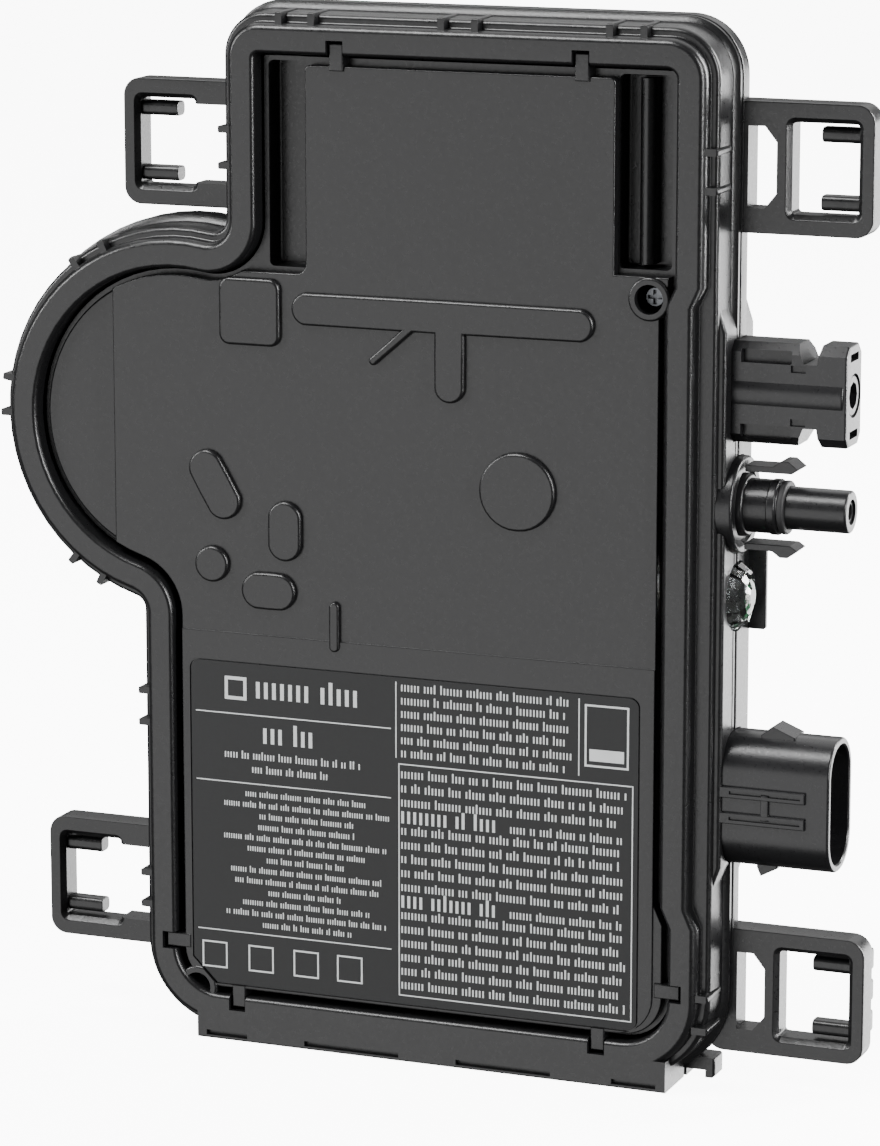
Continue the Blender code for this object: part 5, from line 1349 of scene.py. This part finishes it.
# %% [markdown]
# ## Camera and floor
#
# The camera stands to the right and a little above, far back, so that upright edges stay nearly
# parallel. The floor is pale and bright of its own, as a light table is. Black plastic shows every
# bright thing near it, so the floor's glow is kept out of its light and reflections.

# %% Camera and floor
LENS_MM = 146.4
CAMERA_PLACE = (335.6, -834.6, 292.7)
CAMERA_DOWN = 12.01  # degrees below level
CAMERA_TURN = 21.64  # degrees round to the left
camera_data = bpy.data.cameras.new("camera")
camera_data.lens = LENS_MM
camera_data.clip_end = 10
camera = bpy.data.objects.new("camera", camera_data)
camera.location = place(*CAMERA_PLACE)
camera.rotation_euler = (math.radians(90 - CAMERA_DOWN), 0, math.radians(CAMERA_TURN))
bpy.context.scene.collection.objects.link(camera)
bpy.context.scene.camera = camera

FLOOR_SIZE = 9.0
FLOOR_GLOW = 9.0
bpy.ops.object.select_all(action="DESELECT")
bpy.ops.mesh.primitive_plane_add(size=FLOOR_SIZE, location=(0, 0, place(0, 0, -0.1).z))
floor = settle("floor")
floor.visible_diffuse = False  # the glowing floor doesn't light the black plastic
floor.visible_glossy = False  # nor mirrors in it
floor.visible_shadow = False  # and it lets the low cards shine through
floor_finish, floor_tree, floor_shader, floor_spot = new_finish(
    "pale_floor", {"Roughness": 0.8, "Emission Color": (1, 1, 1, 1), "Emission Strength": FLOOR_GLOW}
)
clouds = add(floor_tree, "TexNoise", {}, {"Vector": floor_spot, "Scale": per_mm(200.0)})
shades = {0: clouds.outputs["Fac"], 6: linear("#f2f2f2"), 7: linear("#f5f5f5")}
floor_colour = add(floor_tree, "Mix", {"data_type": "RGBA"}, shades)
floor_tree.links.new(floor_colour.outputs[2], floor_shader.inputs["Base Color"])
floor.data.materials.append(floor_finish)
print("floor at", round(measured(floor.data.vertices[0].co).z, 2), "mm")

# %% [markdown]
# ## Light
#
# Glossy black shows its shape by what it mirrors. So two large cards stand where the flat front and
# the side wall mirror them towards the camera, and give those flats an even dark grey. All that is
# rounded turns away from the cards and goes black, with thin bright lines from the narrow lamps. A
# mirrored place is the camera's direction with its sideways or its front-to-back part turned round,
# and always its height. The room beyond is dark, but the camera sees a white backdrop.

# %% Lamps
AIM = Vector((0, 0, 0.11))
CARD_DISTANCE = 1.5
toward = (camera.location - AIM).normalized()
front_card_place = CARD_DISTANCE * Vector((-toward.x, toward.y, -toward.z))
side_card_place = CARD_DISTANCE * Vector((toward.x, -toward.y, -toward.z))
# Name, place in metres, width, height, power in watts
LAMPS = (
    ("top_softbox", (-0.4, -0.4, 1.1), 0.6, 0.35, 14.0),
    ("left_softbox", (-1.2, -0.75, 0.6), 0.3, 0.9, 18.0),
    ("right_strip", (1.1, -0.35, 0.45), 0.12, 0.9, 20.0),
    ("front_card", front_card_place, 1.3, 1.3, 11.0),
    ("side_card", side_card_place, 0.9, 0.9, 17.0),
    ("right_back_strip", (0.8, 0.7, 0.4), 0.15, 0.9, 24.0),
)
for name, spot, width, height, power in LAMPS:
    lamp = bpy.data.lights.new(name, "AREA")
    lamp.shape = "RECTANGLE"
    lamp.size, lamp.size_y, lamp.energy = width, height, power
    holder = bpy.data.objects.new(name, lamp)
    holder.location = spot
    holder.rotation_euler = (AIM - Vector(spot)).to_track_quat("-Z", "Y").to_euler()
    bpy.context.scene.collection.objects.link(holder)

SUN_POWER = 1.6
SUN_WIDTH = 70  # degrees: as wide and soft as a large window
SUN_DIRECTION = Vector((0.1, -0.75, -1.0))
sun = bpy.data.lights.new("back_window", "SUN")
sun.energy = SUN_POWER
sun.angle = math.radians(SUN_WIDTH)
window = bpy.data.objects.new("back_window", sun)
window.rotation_euler = SUN_DIRECTION.to_track_quat("-Z", "Y").to_euler()
bpy.context.scene.collection.objects.link(window)

# %% Backdrop
BACKDROP_LIGHT = 14.0
ROOM_LIGHT = 0.1
world = bpy.data.worlds.new("studio")
bpy.context.scene.world = world
world.use_nodes = True
room = world.node_tree
background = room.nodes["Background"]
background.inputs["Color"].default_value = (1, 1, 1, 1)
seen = add(room, "LightPath", {}, {}).outputs["Is Camera Ray"]
brightness = add(room, "MapRange", {}, {"Value": seen, "To Min": ROOM_LIGHT, "To Max": BACKDROP_LIGHT})
room.links.new(brightness.outputs["Result"], background.inputs["Strength"])
print("lamps:", len(LAMPS) + 1)
